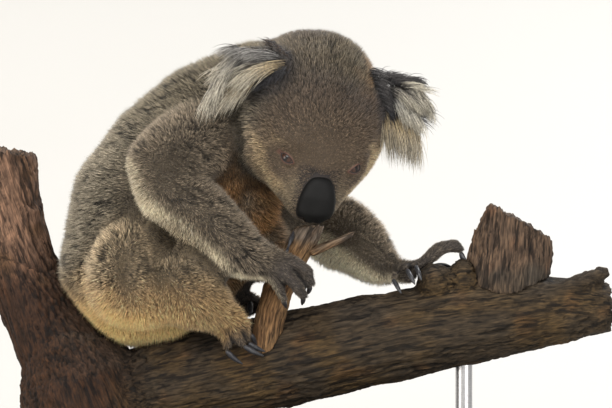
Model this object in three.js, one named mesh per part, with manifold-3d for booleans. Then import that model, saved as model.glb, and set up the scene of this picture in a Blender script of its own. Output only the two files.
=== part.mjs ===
// A life-size adult koala, sitting in the fork of a branch and leaning forward over a broken stub,
// on a plain display stand. Millimetres. X runs along the branch to the animal's front, Y to its
// left side, and Z up. The origin is the centre of the underside of the stand's base.

import * as THREE from 'three';
import { mergeVertices } from 'three/addons/utils/BufferGeometryUtils.js';
import Module from 'manifold-3d';

const wasm = await Module();
wasm.setup();

// ---------------------------------------------------------------------------------------------
// Driving dimensions
// ---------------------------------------------------------------------------------------------

const GAP = 0.35;             // clear space kept between neighbouring pieces
const WELD = 1e-3;            // vertices closer than this are one
const BLUNT = 0.35;           // how square the ends of a lofted body are, 1 being an ellipse

const HEAD = {
  at: [9.7, -60, 351.5],      // middle of the skull
  yaw: 4.4,                   // degrees, turned from the near side toward the front
  pitch: 53.9,                // degrees, nose down
  roll: 14.3,                 // degrees, crown leaning toward the front
};
const EYE = { forward: 48.5, side: 30, up: 2, radius: 8.5 };
const SOCKET = { look: [0.58, 0.5, 0.64], deep: 16, inner: 5.5, outer: 10 };    // how an eye looks out

const CLAW = { hand: 3.3, foot: 3.6 };            // radius where a claw leaves its toe

const BASE = { length: 460, width: 280, thick: 18, corner: 36, bevel: 2 };
const ROD = { radius: 8, places: [-66, 150], top: 140 };
const STEM_END = 46;          // height of the saw cut under the fork
const TRUNK_END = 326;        // height of the saw cut on the upright limb
const BRANCH_END = 288;       // how far the branch reaches in front
const FORK_TOP = 150;         // where the upright limb leaves the fork
const STUB_END = 254;         // height of the broken end in front of the chin

const SMOOTHING = 0.15;       // how far joining flat facets may move a surface, well under half GAP
const FACETS = { body: [16, 10], round: [10, 7], limb: [12, 7], paw: [8, 5], claw: [5, 4] };

// ---------------------------------------------------------------------------------------------
// Materials
// ---------------------------------------------------------------------------------------------

/** A plain finish of one colour. */
function finish(color, roughness, metalness = 0) {
  return new THREE.MeshStandardMaterial({ color, roughness, metalness });
}

const GREY_FUR = finish('#857563', 0.95);
const FACE_FUR = finish('#8c7460', 0.95);
const PALE_FUR = finish('#cfc5b0', 0.95);
const PAW_FUR = finish('#6c665f', 0.9);
const NOSE_SKIN = finish('#2c2a2a', 0.55);
const EYE_GLOSS = finish('#2a140c', 0.12);
const CLAW_HORN = finish('#17171b', 0.4);
const BARK = finish('#6b4f3c', 0.92);
const STAND_PAINT = finish('#2e2d2c', 0.6);
const STAND_STEEL = finish('#8f9193', 0.35, 1);

// ---------------------------------------------------------------------------------------------
// Shapes
// ---------------------------------------------------------------------------------------------

/**
 * A closed body along a smooth spine. Each station is [x, y, z, wide, over, under]: a point of the
 * spine, the half width across it, and the half heights on the side that `up` points to and on the
 * other. The ends round off by themselves.
 */
function loft(stations, { up = [0, 0, 1], facets = FACETS.limb, blunt = BLUNT } = {}) {
  const spine = new THREE.CatmullRomCurve3(
    stations.map(([x, y, z]) => new THREE.Vector3(x, y, z)), false, 'catmullrom', 0.5);
  const sizes = new THREE.CatmullRomCurve3(
    stations.map(([, , , wide, over = wide, under = over]) => new THREE.Vector3(wide, over, under)),
    false, 'catmullrom', 0.5);
  const hint = new THREE.Vector3(...up);
  const geometry = new THREE.SphereGeometry(1, ...facets);
  const position = geometry.getAttribute('position');
  const point = new THREE.Vector3();
  for (let i = 0; i < position.count; i += 1) {
    point.fromBufferAttribute(position, i);
    const t = THREE.MathUtils.clamp((1 - point.y) / 2, 0, 1);
    const round = Math.hypot(point.x, point.z);
    const swell = round > WELD ? round ** (blunt - 1) : 0;
    const along = spine.getTangent(t);
    const across = new THREE.Vector3().crossVectors(hint, along).normalize();
    const over = new THREE.Vector3().crossVectors(along, across);
    const size = sizes.getPoint(t);
    const height = point.z > 0 ? size.y : size.z;
    const place = spine.getPoint(t)
      .addScaledVector(across, point.x * swell * size.x)
      .addScaledVector(over, point.z * swell * height);
    position.setXYZ(i, place.x, place.y, place.z);
  }
  return welded(geometry);
}

/** The same geometry with only its positions, and each shared vertex held once. */
function welded(geometry) {
  geometry.deleteAttribute('normal');
  geometry.deleteAttribute('uv');
  return mergeVertices(geometry, WELD);
}

/** A ball, or an egg when three radii are given. */
function ball(centre, radii, facets = FACETS.paw) {
  const geometry = new THREE.SphereGeometry(1, ...facets);
  geometry.scale(...(Array.isArray(radii) ? radii : [radii, radii, radii]));
  geometry.translate(...centre);
  return welded(geometry);
}

/** A round bar or cone between two points. */
function bar(from, to, fromRadius, toRadius = fromRadius, sides = 10) {
  const start = new THREE.Vector3(...from);
  const end = new THREE.Vector3(...to);
  const along = end.clone().sub(start);
  const geometry = new THREE.CylinderGeometry(toRadius, fromRadius, along.length(), sides);
  geometry.applyQuaternion(
    new THREE.Quaternion().setFromUnitVectors(new THREE.Vector3(0, 1, 0), along.clone().normalize()));
  const middle = start.add(end).multiplyScalar(0.5);
  geometry.translate(middle.x, middle.y, middle.z);
  return welded(geometry);
}

/** A point part of the way from one point to another. */
function between(from, to, share) {
  return from.map((value, axis) => value + (to[axis] - value) * share);
}

// ---------------------------------------------------------------------------------------------
// Solids: joining and cutting
// ---------------------------------------------------------------------------------------------

/** A welded geometry as a solid, moved outward by `grow` along its own normals. */
function solid(geometry, grow = 0) {
  const shape = geometry.clone();
  shape.computeVertexNormals();
  const position = shape.getAttribute('position');
  const normal = shape.getAttribute('normal');
  const vertProperties = new Float32Array(position.count * 3);
  for (let i = 0; i < position.count * 3; i += 1) {
    vertProperties[i] = position.array[i] + normal.array[i] * grow;
  }
  const triVerts = new Uint32Array(shape.index.array);
  return new wasm.Manifold(new wasm.Mesh({ numProp: 3, vertProperties, triVerts }));
}

/** Several geometries joined into one solid. */
function joined(geometries, grow = 0) {
  return geometries.map((geometry) => solid(geometry, grow)).reduce((sum, next) => sum.add(next));
}

/** True where the boxes round two solids meet. */
function boxesMeet(one, other) {
  const a = one.boundingBox();
  const b = other.boundingBox();
  return [0, 1, 2].every((axis) => a.min[axis] < b.max[axis] && b.min[axis] < a.max[axis]);
}

/** The largest of the pieces that a cut leaves. */
function largest(shape) {
  return shape.decompose().reduce((best, next) => (next.volume() > best.volume() ? next : best));
}

const placed = [];            // every solid so far, each a little larger than it is

/**
 * Adds a sub-part: its geometries joined, cut clear of every sub-part placed before it, and hung
 * in its group. `trim` may cut the joined solid further.
 */
function place(group, name, geometries, material, trim = (shape) => shape) {
  let shape = trim(joined(geometries), 0);
  for (const neighbour of placed) {
    if (boxesMeet(shape, neighbour)) shape = shape.subtract(neighbour);
  }
  placed.push(trim(joined(geometries, GAP), GAP));
  const { vertProperties, triVerts } = largest(shape).simplify(SMOOTHING).getMesh();
  const geometry = new THREE.BufferGeometry();
  geometry.setAttribute('position', new THREE.BufferAttribute(vertProperties, 3));
  geometry.setIndex(new THREE.BufferAttribute(triVerts, 1));
  group.updateWorldMatrix(true, false);
  geometry.applyMatrix4(group.matrixWorld.clone().invert());
  geometry.computeVertexNormals();
  const mesh = new THREE.Mesh(geometry, material);
  mesh.name = name;
  group.add(mesh);
  return mesh;
}

/** A group hung in another at a point of the model. */
function hang(parent, at) {
  const group = new THREE.Group();
  parent.updateWorldMatrix(true, false);
  group.position.copy(parent.worldToLocal(new THREE.Vector3(...at)));
  parent.add(group);
  return group;
}

// ---------------------------------------------------------------------------------------------
// The perch and its stand
// ---------------------------------------------------------------------------------------------

/** A flat cut through a point: `normal` points to the part taken away. */
function sawCut(normal, point) {
  const away = new THREE.Vector3(...normal).normalize();
  const offset = away.dot(new THREE.Vector3(...point));
  const keep = away.clone().negate().toArray();
  return (shape, grow) => shape.trimByPlane(keep, -offset - grow);
}

/** Several flat cuts, one after another. */
function sawCuts(...cuts) {
  return (shape, grow) => cuts.reduce((rest, cut) => cut(rest, grow), shape);
}

/** The flat base and the rods that carry the perch. */
function buildStand(group) {
  const half = [BASE.length / 2 - BASE.bevel, BASE.width / 2 - BASE.bevel];
  const outline = new THREE.Shape();
  const [cx, cy] = half.map((value) => value - BASE.corner);
  outline.absarc(cx, cy, BASE.corner, 0, Math.PI / 2);
  outline.absarc(-cx, cy, BASE.corner, Math.PI / 2, Math.PI);
  outline.absarc(-cx, -cy, BASE.corner, Math.PI, 1.5 * Math.PI);
  outline.absarc(cx, -cy, BASE.corner, 1.5 * Math.PI, 2 * Math.PI);
  const plate = new THREE.ExtrudeGeometry(outline, {
    depth: BASE.thick - 2 * BASE.bevel, curveSegments: 3,
    bevelThickness: BASE.bevel, bevelSize: BASE.bevel, bevelOffset: 0, bevelSegments: 1,
  });
  plate.translate(0, 0, BASE.bevel);
  place(group, 'stand_base', [welded(plate)], STAND_PAINT);
  ROD.places.forEach((x, index) => {
    const foot = BASE.thick + GAP;
    place(group, `stand_rod_${index + 1}`,
      [bar([x, 0, foot], [x, 0, ROD.top], ROD.radius, ROD.radius, 12)], STAND_STEEL);
  });
}

/** The branch, its fork, the upright limb, and the broken wood that grows from it. */
function buildPerch(group) {
  const branch = [
    [-168, 2, 94, 38, 50], [-110, 0, 109, 40, 51], [-44, 0, 122, 41, 46], [32, 0, 139, 42, 45],
    [96, 0, 152, 41, 43], [184, 0, 167, 38, 39], [246, 3, 175, 34, 34], [312, 6, 176, 26, 22],
  ];
  const burls = [ball([122, -8, 200], [18, 24, 19], [10, 6]), ball([149, -8, 203], [14, 20, 21], [10, 6])];
  const shard = loft([[226, -8, 190, 20, 10], [262, -10, 200, 14, 9], [286, -12, 212, 8, 6]],
    { facets: [8, 5] });
  place(group, 'perch_branch', [loft(branch, { facets: [13, 10], blunt: 0.2 }), ...burls, shard], BARK,
    sawCut([1, 0, 0], [BRANCH_END, 0, 0]));

  const fork = [
    [-188, 5, -60, 66, 66], [-194, 6, 20, 76, 74], [-208, 7, 84, 74, 68], [-224, 9, 130, 58, 52],
    [-240, 10, 172, 46, 40],
  ];
  const limb = [
    [-208, 8, 100, 66, 62], [-240, 12, 150, 46, 42], [-270, 18, 206, 34, 36], [-284, 24, 270, 30, 33],
    [-290, 28, 350, 30, 33],
  ];
  const leanBack = [-1, 0, 0];
  place(group, 'perch_fork', [loft(fork, { up: leanBack, facets: [14, 7] })], BARK,
    sawCuts(sawCut([0, 0, -1], [0, 0, STEM_END]), sawCut([0, 0, 1], [0, 0, FORK_TOP])));
  place(group, 'perch_trunk', [loft(limb, { up: leanBack, facets: [14, 8], blunt: 0.2 })], BARK,
    sawCut([0.15, 0, 1], [-285, 0, TRUNK_END]));

  const stub = [
    [-41, -20, 108, 18, 18], [-37, -26, 145, 16, 16], [-32, -33, 178, 15, 15],
    [-19, -44, 211, 14, 14], [-3, -55, 240, 14, 14], [12, -64, 272, 15, 15],
  ];
  place(group, 'perch_stub', [loft(stub, { up: [1, 0, 0], facets: [10, 8], blunt: 0.2 })], BARK,
    sawCut([-0.1, 0.1, 1], [5, -60, STUB_END]));

  const twig = [
    [2, -58, 228, 6, 6], [14, -60, 234, 4.4, 4.4], [30, -63, 240, 3.7, 3.7], [48, -66, 250, 2.8, 2.8],
  ];
  place(group, 'perch_twig', [loft(twig, { facets: [7, 5] })], BARK);

  const stump = [
    [188, 0, 150, 46, 32], [190, 0, 200, 42, 30], [196, 0, 240, 39, 27], [200, 0, 310, 38, 27],
  ];
  const spikes = [[160, -8, 252, 6], [166, -4, 263, 6]].map(([x, y, top, radius]) => (
    bar([x + 2, y, 216], [x, y, top], radius, 1, 5)));
  place(group, 'perch_spikes', spikes, BARK);

  const peak = [182, 0, 269];
  place(group, 'perch_stump', [loft(stump, { up: [0, 1, 0], facets: [14, 7], blunt: 0.2 })],
    BARK, sawCuts(sawCut([0.54, 0.1, 1], peak), sawCut([-0.8, 0.1, 0.5], [peak[0] - 6, 0, peak[2] + 6])));
}

// ---------------------------------------------------------------------------------------------
// The head
// ---------------------------------------------------------------------------------------------

/** The head's own frame: +X to the nose, +Y to its left side and +Z to the crown. */
function headFrame() {
  const [yaw, pitch, roll] = [HEAD.yaw, HEAD.pitch, HEAD.roll].map(THREE.MathUtils.degToRad);
  const forward = new THREE.Vector3(
    Math.sin(yaw) * Math.cos(pitch), -Math.cos(yaw) * Math.cos(pitch), -Math.sin(pitch));
  const level = new THREE.Vector3(Math.cos(yaw), Math.sin(yaw), 0);
  const crown = new THREE.Vector3().crossVectors(forward, level);
  const side = level.multiplyScalar(Math.cos(roll)).addScaledVector(crown, -Math.sin(roll));
  crown.crossVectors(forward, side);
  return new THREE.Matrix4().makeBasis(forward, side, crown).setPosition(...HEAD.at);
}

/** Skull and muzzle, ears, eyes and nose. */
function buildHead(body) {
  const frame = headFrame();
  const head = new THREE.Group();
  head.applyMatrix4(frame);
  body.add(head);
  const inFrame = (geometry) => geometry.applyMatrix4(frame);

  const sockets = [];
  for (const [side, sign] of [['right', -1], ['left', 1]]) {
    const centre = [EYE.forward, sign * EYE.side, EYE.up];
    place(head, `eye_${side}`, [inFrame(ball(centre, EYE.radius))], EYE_GLOSS);
    const [ahead, aside, above] = SOCKET.look;
    const mouth = centre.map((value, axis) => value + SOCKET.deep * [ahead, sign * aside, above][axis]);
    sockets.push(inFrame(bar(centre, mouth, SOCKET.inner, SOCKET.outer, 6)));
  }

  const pad = [
    [66, 0.5, 3, 10, 6], [73, 1, -4, 14.5, 8], [83, 1.5, -16, 17.5, 9], [87, 2.5, -28, 17, 8],
    [86, 3, -34, 14.5, 6],
  ];
  place(head, 'nose_pad', [inFrame(loft(pad, { up: [1, 0, 0.6], facets: [12, 7] }))], NOSE_SKIN);

  const skull = [
    [-94, 0, 12, 50, 42, 32], [-64, 0, 4, 69, 63, 48], [-30, -3, -8, 77, 73, 52],
    [5, -4, -20, 77, 77, 44], [34, 0, -24, 66, 69, 40], [57, 0, -24, 44, 40, 34],
    [75, 0, -30, 29, 20, 26], [90, 0, -34, 18, 12, 18],
  ];
  place(head, 'head', [inFrame(loft(skull, { facets: [16, 11] }))], FACE_FUR,
    (shape, grow) => sockets.reduce((rest, socket) => rest.subtract(solid(socket, -grow)), shape));

  const towardNear = { up: [0, -1, 0], facets: [12, 7], blunt: 0.6 };
  const rightFlap = [
    [-12, -84, 398, 12, 12, 8], [-42, -94, 411, 19, 9, 7], [-64, -101, 402, 20, 8, 7],
    [-77, -107, 376, 15, 7, 6], [-93, -112, 341, 8, 4, 4],
  ];
  place(head, 'ear_right', [loft(rightFlap, towardNear)], PALE_FUR);
  const leftFlap = [
    [84, -52, 402, 8, 8, 8], [94, -52, 378, 27, 10, 8], [97, -50, 352, 30, 9, 8],
    [94, -46, 325, 23, 8, 7], [90, -44, 303, 6, 5, 5],
  ];
  const stalk = ball([78, -54, 368], [20, 12, 26], [10, 6]);
  place(head, 'ear_left', [loft(leftFlap, towardNear), stalk], PALE_FUR);
}

// ---------------------------------------------------------------------------------------------
// The trunk
// ---------------------------------------------------------------------------------------------

/** Neck and trunk: one body, parted by a thin cut across the shoulders. */
function buildTrunk(body) {
  const back = [
    [-160, 8, 134, 60, 50, 48], [-164, 8, 184, 82, 70, 66], [-170, 8, 228, 88, 80, 72],
    [-148, 5, 274, 88, 78, 80], [-120, 2, 317, 82, 72, 80], [-88, -4, 350, 76, 67, 90],
    [-54, -14, 376, 66, 57, 88], [-18, -26, 386, 56, 56, 78], [20, -38, 384, 46, 52, 62],
  ];
  const torso = loft(back, { up: [-0.7, 0, 0.7], facets: FACETS.body });
  const chest = ball([-66, 6, 282], [48, 52, 58], FACETS.round);
  const belly = ball([-92, 8, 218], [48, 50, 50], FACETS.round);
  const breast = ball([-44, 12, 240], [36, 36, 42], [10, 6]);
  const seat = ball([-136, -4, 170], [38, 46, 31], [12, 7]);
  const flesh = [torso, chest, belly, breast, seat];
  const cut = new THREE.Vector3(0.86, -0.2, 0.3).normalize();
  const offset = cut.dot(new THREE.Vector3(-62, -12, 372));
  const forward = cut.toArray();
  const backward = cut.clone().negate().toArray();
  place(body, 'neck', flesh, GREY_FUR, (shape, grow) => shape.trimByPlane(forward, offset - grow));
  place(body, 'trunk', flesh, GREY_FUR, (shape, grow) => shape.trimByPlane(backward, -offset - grow));
}

// ---------------------------------------------------------------------------------------------
// Limbs
// ---------------------------------------------------------------------------------------------

/** A claw that leaves a toe's last joint and ends in a point. */
function claw(joint, toeTip, point, radius) {
  const root = between(joint, toeTip, 0.55);
  const leave = between(toeTip, point, 0.15);
  const bend = between(toeTip, point, 0.6);
  const stations = [[...root, radius], [...leave, radius], [...bend, radius * 0.7], [...point, 0.5]];
  return loft(stations, { up: [0.3, 0.5, 0.8], facets: FACETS.claw });
}

/**
 * A hand or foot: a palm loft and its digits. Each digit is a row of joints from the palm to its
 * tip, a radius, and where its claw ends, or none.
 */
function buildPaw(group, name, { palm, digits, clawRadius }) {
  const pieces = [loft(palm, { up: [0.2, -1, 0.3], facets: FACETS.paw })];
  for (const { number, joints, radius, clawTip } of digits) {
    const taper = (index) => radius * (1 - 0.12 * (index / (joints.length - 1)));
    const stations = joints.map((joint, index) => [...joint, taper(index)]);
    pieces.push(loft(stations, { up: [0.3, 0.5, 0.8], facets: [6, joints.length] }));
    if (clawTip) {
      const [joint, toeTip] = joints.slice(-2);
      place(group, `claw_${name}_${number}`, [claw(joint, toeTip, clawTip, clawRadius)], CLAW_HORN);
    }
  }
  place(group, name, pieces, PAW_FUR);
}

const ARMS = {
  right: {
    shoulder: [-95, -60, 338],
    upper: [[-58, -34, 360, 38], [-95, -60, 338, 41], [-132, -94, 310, 41], [-165, -104, 296, 32]],
    fore: [
      [-162, -100, 300, 28], [-132, -103, 291, 38], [-93, -99, 261, 34], [-64, -92, 232, 30],
      [-46, -85, 222, 24], [-34, -82, 217, 18],
    ],
    palm: [[-52, -84, 226, 21], [-34, -82, 221, 22, 15], [-20, -80, 213, 20, 13], [-8, -78, 206, 14, 11]],
    digits: [
      { number: 1, radius: 6.5, joints: [[-34, -78, 214], [-24, -62, 204], [-10, -52, 208]],
        clawTip: [8, -44, 212] },
      { number: 2, radius: 6.5, joints: [[-30, -74, 220], [-19, -78, 224], [-18, -74, 232]],
        clawTip: [-9, -60, 254] },
      { number: 3, radius: 7.3, joints: [[-18, -84, 226], [-4, -89, 218], [4, -87, 207], [4, -79, 197]],
        clawTip: [1, -62, 190] },
      { number: 4, radius: 7.4, joints: [[-22, -86, 213], [-12, -92, 203], [-4, -90, 193], [-2, -82, 188]],
        clawTip: [-4, -66, 180] },
      { number: 5, radius: 7.6, joints: [[-36, -84, 212], [-30, -88, 198], [-23, -86, 189], [-21, -80, 185]],
        clawTip: [-18, -64, 177] },
    ],
  },
  left: {
    shoulder: [-54, 50, 352],
    upper: [[-66, 44, 350, 38], [-32, 56, 306, 45], [0, 54, 262, 43], [22, 46, 246, 32]],
    fore: [
      [6, 48, 280, 30], [38, 40, 248, 37], [58, 24, 228, 30], [74, 10, 214, 23], [88, 2, 208, 16],
    ],
    loose: [[[30, 42, 236], [31, 27, 29]]],
    palm: [[76, 8, 212, 17], [88, 2, 211, 17, 13], [98, -4, 210, 15, 12], [106, -6, 210, 11, 9]],
    digits: [
      { number: 1, radius: 6.5, joints: [[100, 4, 208], [112, 14, 212], [126, 20, 218]],
        clawTip: [142, 22, 214] },
      { number: 2, radius: 8.8, joints: [[98, -4, 212], [112, -6, 220], [121, -9, 228], [132, -9, 237],
        [143, -7, 235], [148, -6, 227]], clawTip: [152, -3, 216] },
      { number: 3, radius: 7, joints: [[96, -10, 212], [101, -25, 219], [104, -35, 216]],
        clawTip: [109, -42, 202] },
      { number: 4, radius: 7, joints: [[90, -10, 212], [92, -28, 217], [96, -40, 212]],
        clawTip: [103, -46, 198] },
      { number: 5, radius: 7, joints: [[82, -8, 208], [80, -28, 208], [83, -40, 202]],
        clawTip: [90, -46, 190] },
    ],
  },
};

const LEGS = {
  right: {
    hip: [-186, -26, 192],
    thigh: [[-184, -20, 184, 40], [-162, -52, 202, 53], [-144, -80, 217, 56], [-128, -96, 222, 42]],
    shank: [[-140, -84, 222, 40], [-112, -84, 196, 41], [-92, -72, 181, 31], [-76, -64, 170, 24]],
    foot: [[-90, -64, 180, 22], [-74, -62, 168, 23, 18], [-66, -60, 154, 19, 15], [-64, -56, 142, 13, 11]],
    digits: [
      { number: 1, radius: 7.5, joints: [[-64, -56, 170], [-54, -58, 168], [-48, -52, 160]] },
      { number: 2, radius: 6, joints: [[-60, -54, 164], [-54, -50, 157], [-51, -46, 151]],
        clawTip: [-46, -38, 142] },
      { number: 3, radius: 6, joints: [[-62, -58, 158], [-56, -60, 150], [-53, -58, 143]],
        clawTip: [-37, -50, 136] },
      { number: 4, radius: 8, joints: [[-68, -60, 158], [-61, -67, 149], [-57, -64, 140]],
        clawTip: [-38, -57, 132] },
      { number: 5, radius: 7, joints: [[-76, -58, 160], [-76, -64, 146], [-74, -60, 135]],
        clawTip: [-58, -54, 124] },
    ],
  },
  left: {
    hip: [-186, 42, 192],
    thigh: [[-196, 36, 184, 42], [-168, 66, 205, 52], [-140, 86, 222, 52], [-124, 96, 224, 38]],
    shank: [[-132, 88, 222, 38], [-104, 78, 206, 36], [-80, 62, 190, 28], [-64, 50, 180, 22]],
    foot: [[-76, 56, 184, 20], [-64, 42, 178, 21, 16], [-56, 26, 178, 19, 13], [-54, 12, 178, 14, 11]],
    digits: [
      { number: 1, radius: 7.5, joints: [[-70, 44, 176], [-84, 32, 172], [-90, 20, 166]] },
      { number: 2, radius: 6, joints: [[-62, 24, 182], [-64, 6, 182], [-63, -6, 174]],
        clawTip: [-62, -18, 164] },
      { number: 3, radius: 6, joints: [[-56, 24, 184], [-54, 4, 186], [-53, -8, 180]],
        clawTip: [-52, -22, 170] },
      { number: 4, radius: 8, joints: [[-50, 28, 180], [-40, 12, 180], [-36, 0, 174]],
        clawTip: [-30, -10, 164] },
      { number: 5, radius: 8, joints: [[-50, 38, 176], [-34, 32, 172], [-22, 26, 166]],
        clawTip: [-6, 22, 158] },
    ],
  },
};

/** Both arms and both legs, from the trunk outward. */
function buildLimbs(body) {
  const shoulders = {};
  for (const [side, arm] of Object.entries(ARMS)) {
    shoulders[side] = hang(body, arm.shoulder);
    place(shoulders[side], `upper_arm_${side}`, [loft(arm.upper)], GREY_FUR);
  }
  for (const [side, arm] of Object.entries(ARMS)) {
    const loose = (arm.loose ?? []).map(([at, radii]) => ball(at, radii, [10, 6]));
    place(shoulders[side], `forearm_${side}`, [loft(arm.fore), ...loose], GREY_FUR);
    buildPaw(shoulders[side], `hand_${side}`, { ...arm, clawRadius: CLAW.hand });
  }
  for (const [side, leg] of Object.entries(LEGS)) {
    const hip = hang(body, leg.hip);
    place(hip, `thigh_${side}`, [loft(leg.thigh, { facets: [13, 8] })], GREY_FUR);
    place(hip, `shank_${side}`, [loft(leg.shank)], GREY_FUR);
    buildPaw(hip, `foot_${side}`, { ...leg, palm: leg.foot, clawRadius: CLAW.foot });
  }
}

// ---------------------------------------------------------------------------------------------
// The whole
// ---------------------------------------------------------------------------------------------

const koala = new THREE.Group();
const perch = new THREE.Group();
const stand = new THREE.Group();
koala.add(perch, stand);
buildPerch(perch);
buildStand(stand);
buildHead(koala);
buildTrunk(koala);
buildLimbs(koala);

export default koala;
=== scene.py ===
"""The looks of a life-size koala, sitting in the fork of a cut branch on a plain display stand.

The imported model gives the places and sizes. This script dresses it: one skin over the flesh,
a coat of mesh tufts on the skin, wet eyes, a leathery nose, horn claws, weathered wood, and the
painted and steel parts of the stand.
"""
import itertools
import logging
import math
from dataclasses import dataclass, field
from enum import Enum

import bmesh
import bpy
import numpy as np
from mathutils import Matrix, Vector
from mathutils.bvhtree import BVHTree
from mathutils.kdtree import KDTree


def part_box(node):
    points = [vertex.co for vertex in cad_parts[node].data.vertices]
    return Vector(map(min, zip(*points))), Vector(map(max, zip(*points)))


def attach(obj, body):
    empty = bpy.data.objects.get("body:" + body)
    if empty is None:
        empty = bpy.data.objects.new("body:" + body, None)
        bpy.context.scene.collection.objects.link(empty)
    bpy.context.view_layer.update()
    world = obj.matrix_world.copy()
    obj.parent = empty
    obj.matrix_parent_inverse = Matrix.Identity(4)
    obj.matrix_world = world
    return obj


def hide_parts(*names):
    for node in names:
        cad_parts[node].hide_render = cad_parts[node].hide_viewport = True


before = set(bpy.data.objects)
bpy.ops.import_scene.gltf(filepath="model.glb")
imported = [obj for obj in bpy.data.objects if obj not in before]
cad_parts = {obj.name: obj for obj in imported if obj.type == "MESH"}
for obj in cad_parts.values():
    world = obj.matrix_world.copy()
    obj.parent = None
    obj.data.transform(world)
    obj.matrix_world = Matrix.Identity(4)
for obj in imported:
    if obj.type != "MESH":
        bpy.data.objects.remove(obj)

log = logging.getLogger("koala")
logging.basicConfig(level=logging.INFO, format="%(name)s: %(message)s")

Vec = tuple[float, float, float]
Colour = tuple[float, float, float]
Rows = np.ndarray
Piece = bpy.types.Object
Socket = bpy.types.NodeSocket
# What feeds a node's input: another node, a colour or a number.
Source = Socket | Colour | float

SEED = 21
MM = 0.001

# The camera: level, in front of the branch, with the width that it takes in at that distance.
CAMERA_AWAY = 4.0
CAMERA_HEIGHT = 0.275
VIEW_WIDTH = 0.5814
SENSOR = 36.0


class Side(Enum):
    """The animal's own sides, with the sign of the head's side axis."""

    RIGHT = -1
    LEFT = 1

    @property
    def word(self) -> str:
        """The side's name as the nodes spell it."""
        return self.name.lower()


class Region(Enum):
    """The stretches of the body that differ in coat and markings."""

    HEAD = 0
    NECK = 1
    TRUNK = 2
    UPPER_ARM = 3
    FOREARM = 4
    HAND = 5
    THIGH = 6
    SHANK = 7
    FOOT = 8


# -- Small tools


def unit(vectors: Rows) -> Rows:
    """Vectors of length one along the same directions."""
    return vectors / np.maximum(np.linalg.norm(vectors, axis=-1, keepdims=True), 1e-9)


def smoothstep(low: float, high: float, value: Rows) -> Rows:
    """A soft step from 0 at `low` to 1 at `high`."""
    share = np.clip((value - low) / (high - low), 0.0, 1.0)
    return share * share * (3.0 - 2.0 * share)


def mix(first: Rows, second: Rows, share: Rows) -> Rows:
    """Blends two rows of colours by a share for each row."""
    share = np.asarray(share)[..., None]
    return first * (1.0 - share) + np.asarray(second) * share


class Noise:
    """Smooth gradient noise in space, the same for the same seed."""

    def __init__(self, seed: int) -> None:
        """Shuffles the lattice.

        Args:
            seed: what the shuffle starts from.
        """
        rng = np.random.default_rng(seed)
        self.order = rng.permutation(256)
        self.slopes = unit(rng.normal(size=(256, 3)))

    def at(self, points: Rows, scale: float | Vec = 1.0) -> Rows:
        """Reads the noise.

        Args:
            points: rows of coordinates.
            scale: the size of one swell, along each axis or along all.

        Returns:
            One value from about -1 to 1 for each row.
        """
        spots = points / np.asarray(scale)
        cell = np.floor(spots).astype(int)
        part = spots - cell
        fade = part**3 * (part * (part * 6 - 15) + 10)
        total = np.zeros(len(points))
        for corner in itertools.product((0, 1), repeat=3):
            x, y, z = (cell + corner).T & 255
            pick = self.order[(self.order[(self.order[x] + y) & 255] + z) & 255]
            rise = ((part - corner) * self.slopes[pick]).sum(axis=1)
            total += rise * np.where(corner, fade, 1 - fade).prod(axis=1)
        return total * 1.6

    def ridges(self, points: Rows, scale: float | Vec = 1.0) -> Rows:
        """Noise folded into sharp ridges, from 0 in the hollows to 1 on the crests."""
        return 1.0 - np.abs(self.at(points, scale)) * 1.6


def deselect() -> None:
    """Leaves nothing selected."""
    bpy.ops.object.select_all(action="DESELECT")


def make_active(obj: Piece) -> None:
    """Selects one object alone and makes it the active one."""
    deselect()
    obj.select_set(True)
    bpy.context.view_layer.objects.active = obj


def apply_modifier(obj: Piece, kind: str, **settings: object) -> None:
    """Adds a modifier and applies it.

    Args:
        obj: the object it acts on.
        kind: the modifier's type.
        settings: its settings, by name.
    """
    make_active(obj)
    modifier = obj.modifiers.new(kind.lower(), kind)
    for name, value in settings.items():
        setattr(modifier, name, value)
    bpy.ops.object.modifier_apply(modifier=modifier.name)


def place_in_mesh(obj: Piece) -> None:
    """Moves an object's place, turn and size into its mesh."""
    make_active(obj)
    bpy.ops.object.transform_apply(location=True, rotation=True, scale=True)


def shade_smooth(obj: Piece, angle: float | None = None) -> None:
    """Shades an object smooth, everywhere or only across edges flatter than `angle` degrees."""
    make_active(obj)
    if angle is None:
        bpy.ops.object.shade_smooth()
    else:
        bpy.ops.object.shade_smooth_by_angle(angle=math.radians(angle))


def read_rows(items: bpy.types.bpy_prop_collection, name: str, width: int, kind: type = float) -> Rows:
    """One value of each item of a mesh, as rows of numbers."""
    flat = np.empty(len(items) * width, dtype=kind)
    items.foreach_get(name, flat)
    return flat.reshape(-1, width)


def read_points(mesh: bpy.types.Mesh) -> Rows:
    """The mesh's vertex positions as rows."""
    return read_rows(mesh.vertices, "co", 3)


def read_normals(mesh: bpy.types.Mesh) -> Rows:
    """The mesh's vertex normals as rows."""
    return read_rows(mesh.vertices, "normal", 3)


def read_edges(mesh: bpy.types.Mesh) -> Rows:
    """The mesh's edges as rows of vertex pairs."""
    return read_rows(mesh.edges, "vertices", 2, np.int32)


def read_triangles(mesh: bpy.types.Mesh) -> Rows:
    """The mesh's triangles as rows of vertex numbers."""
    mesh.calc_loop_triangles()
    return read_rows(mesh.loop_triangles, "vertices", 3, np.int32)


def write_points(mesh: bpy.types.Mesh, points: Rows) -> None:
    """Puts the rows back as the mesh's vertex positions."""
    mesh.vertices.foreach_set("co", points.astype(np.float32).ravel())
    mesh.update()


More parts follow.
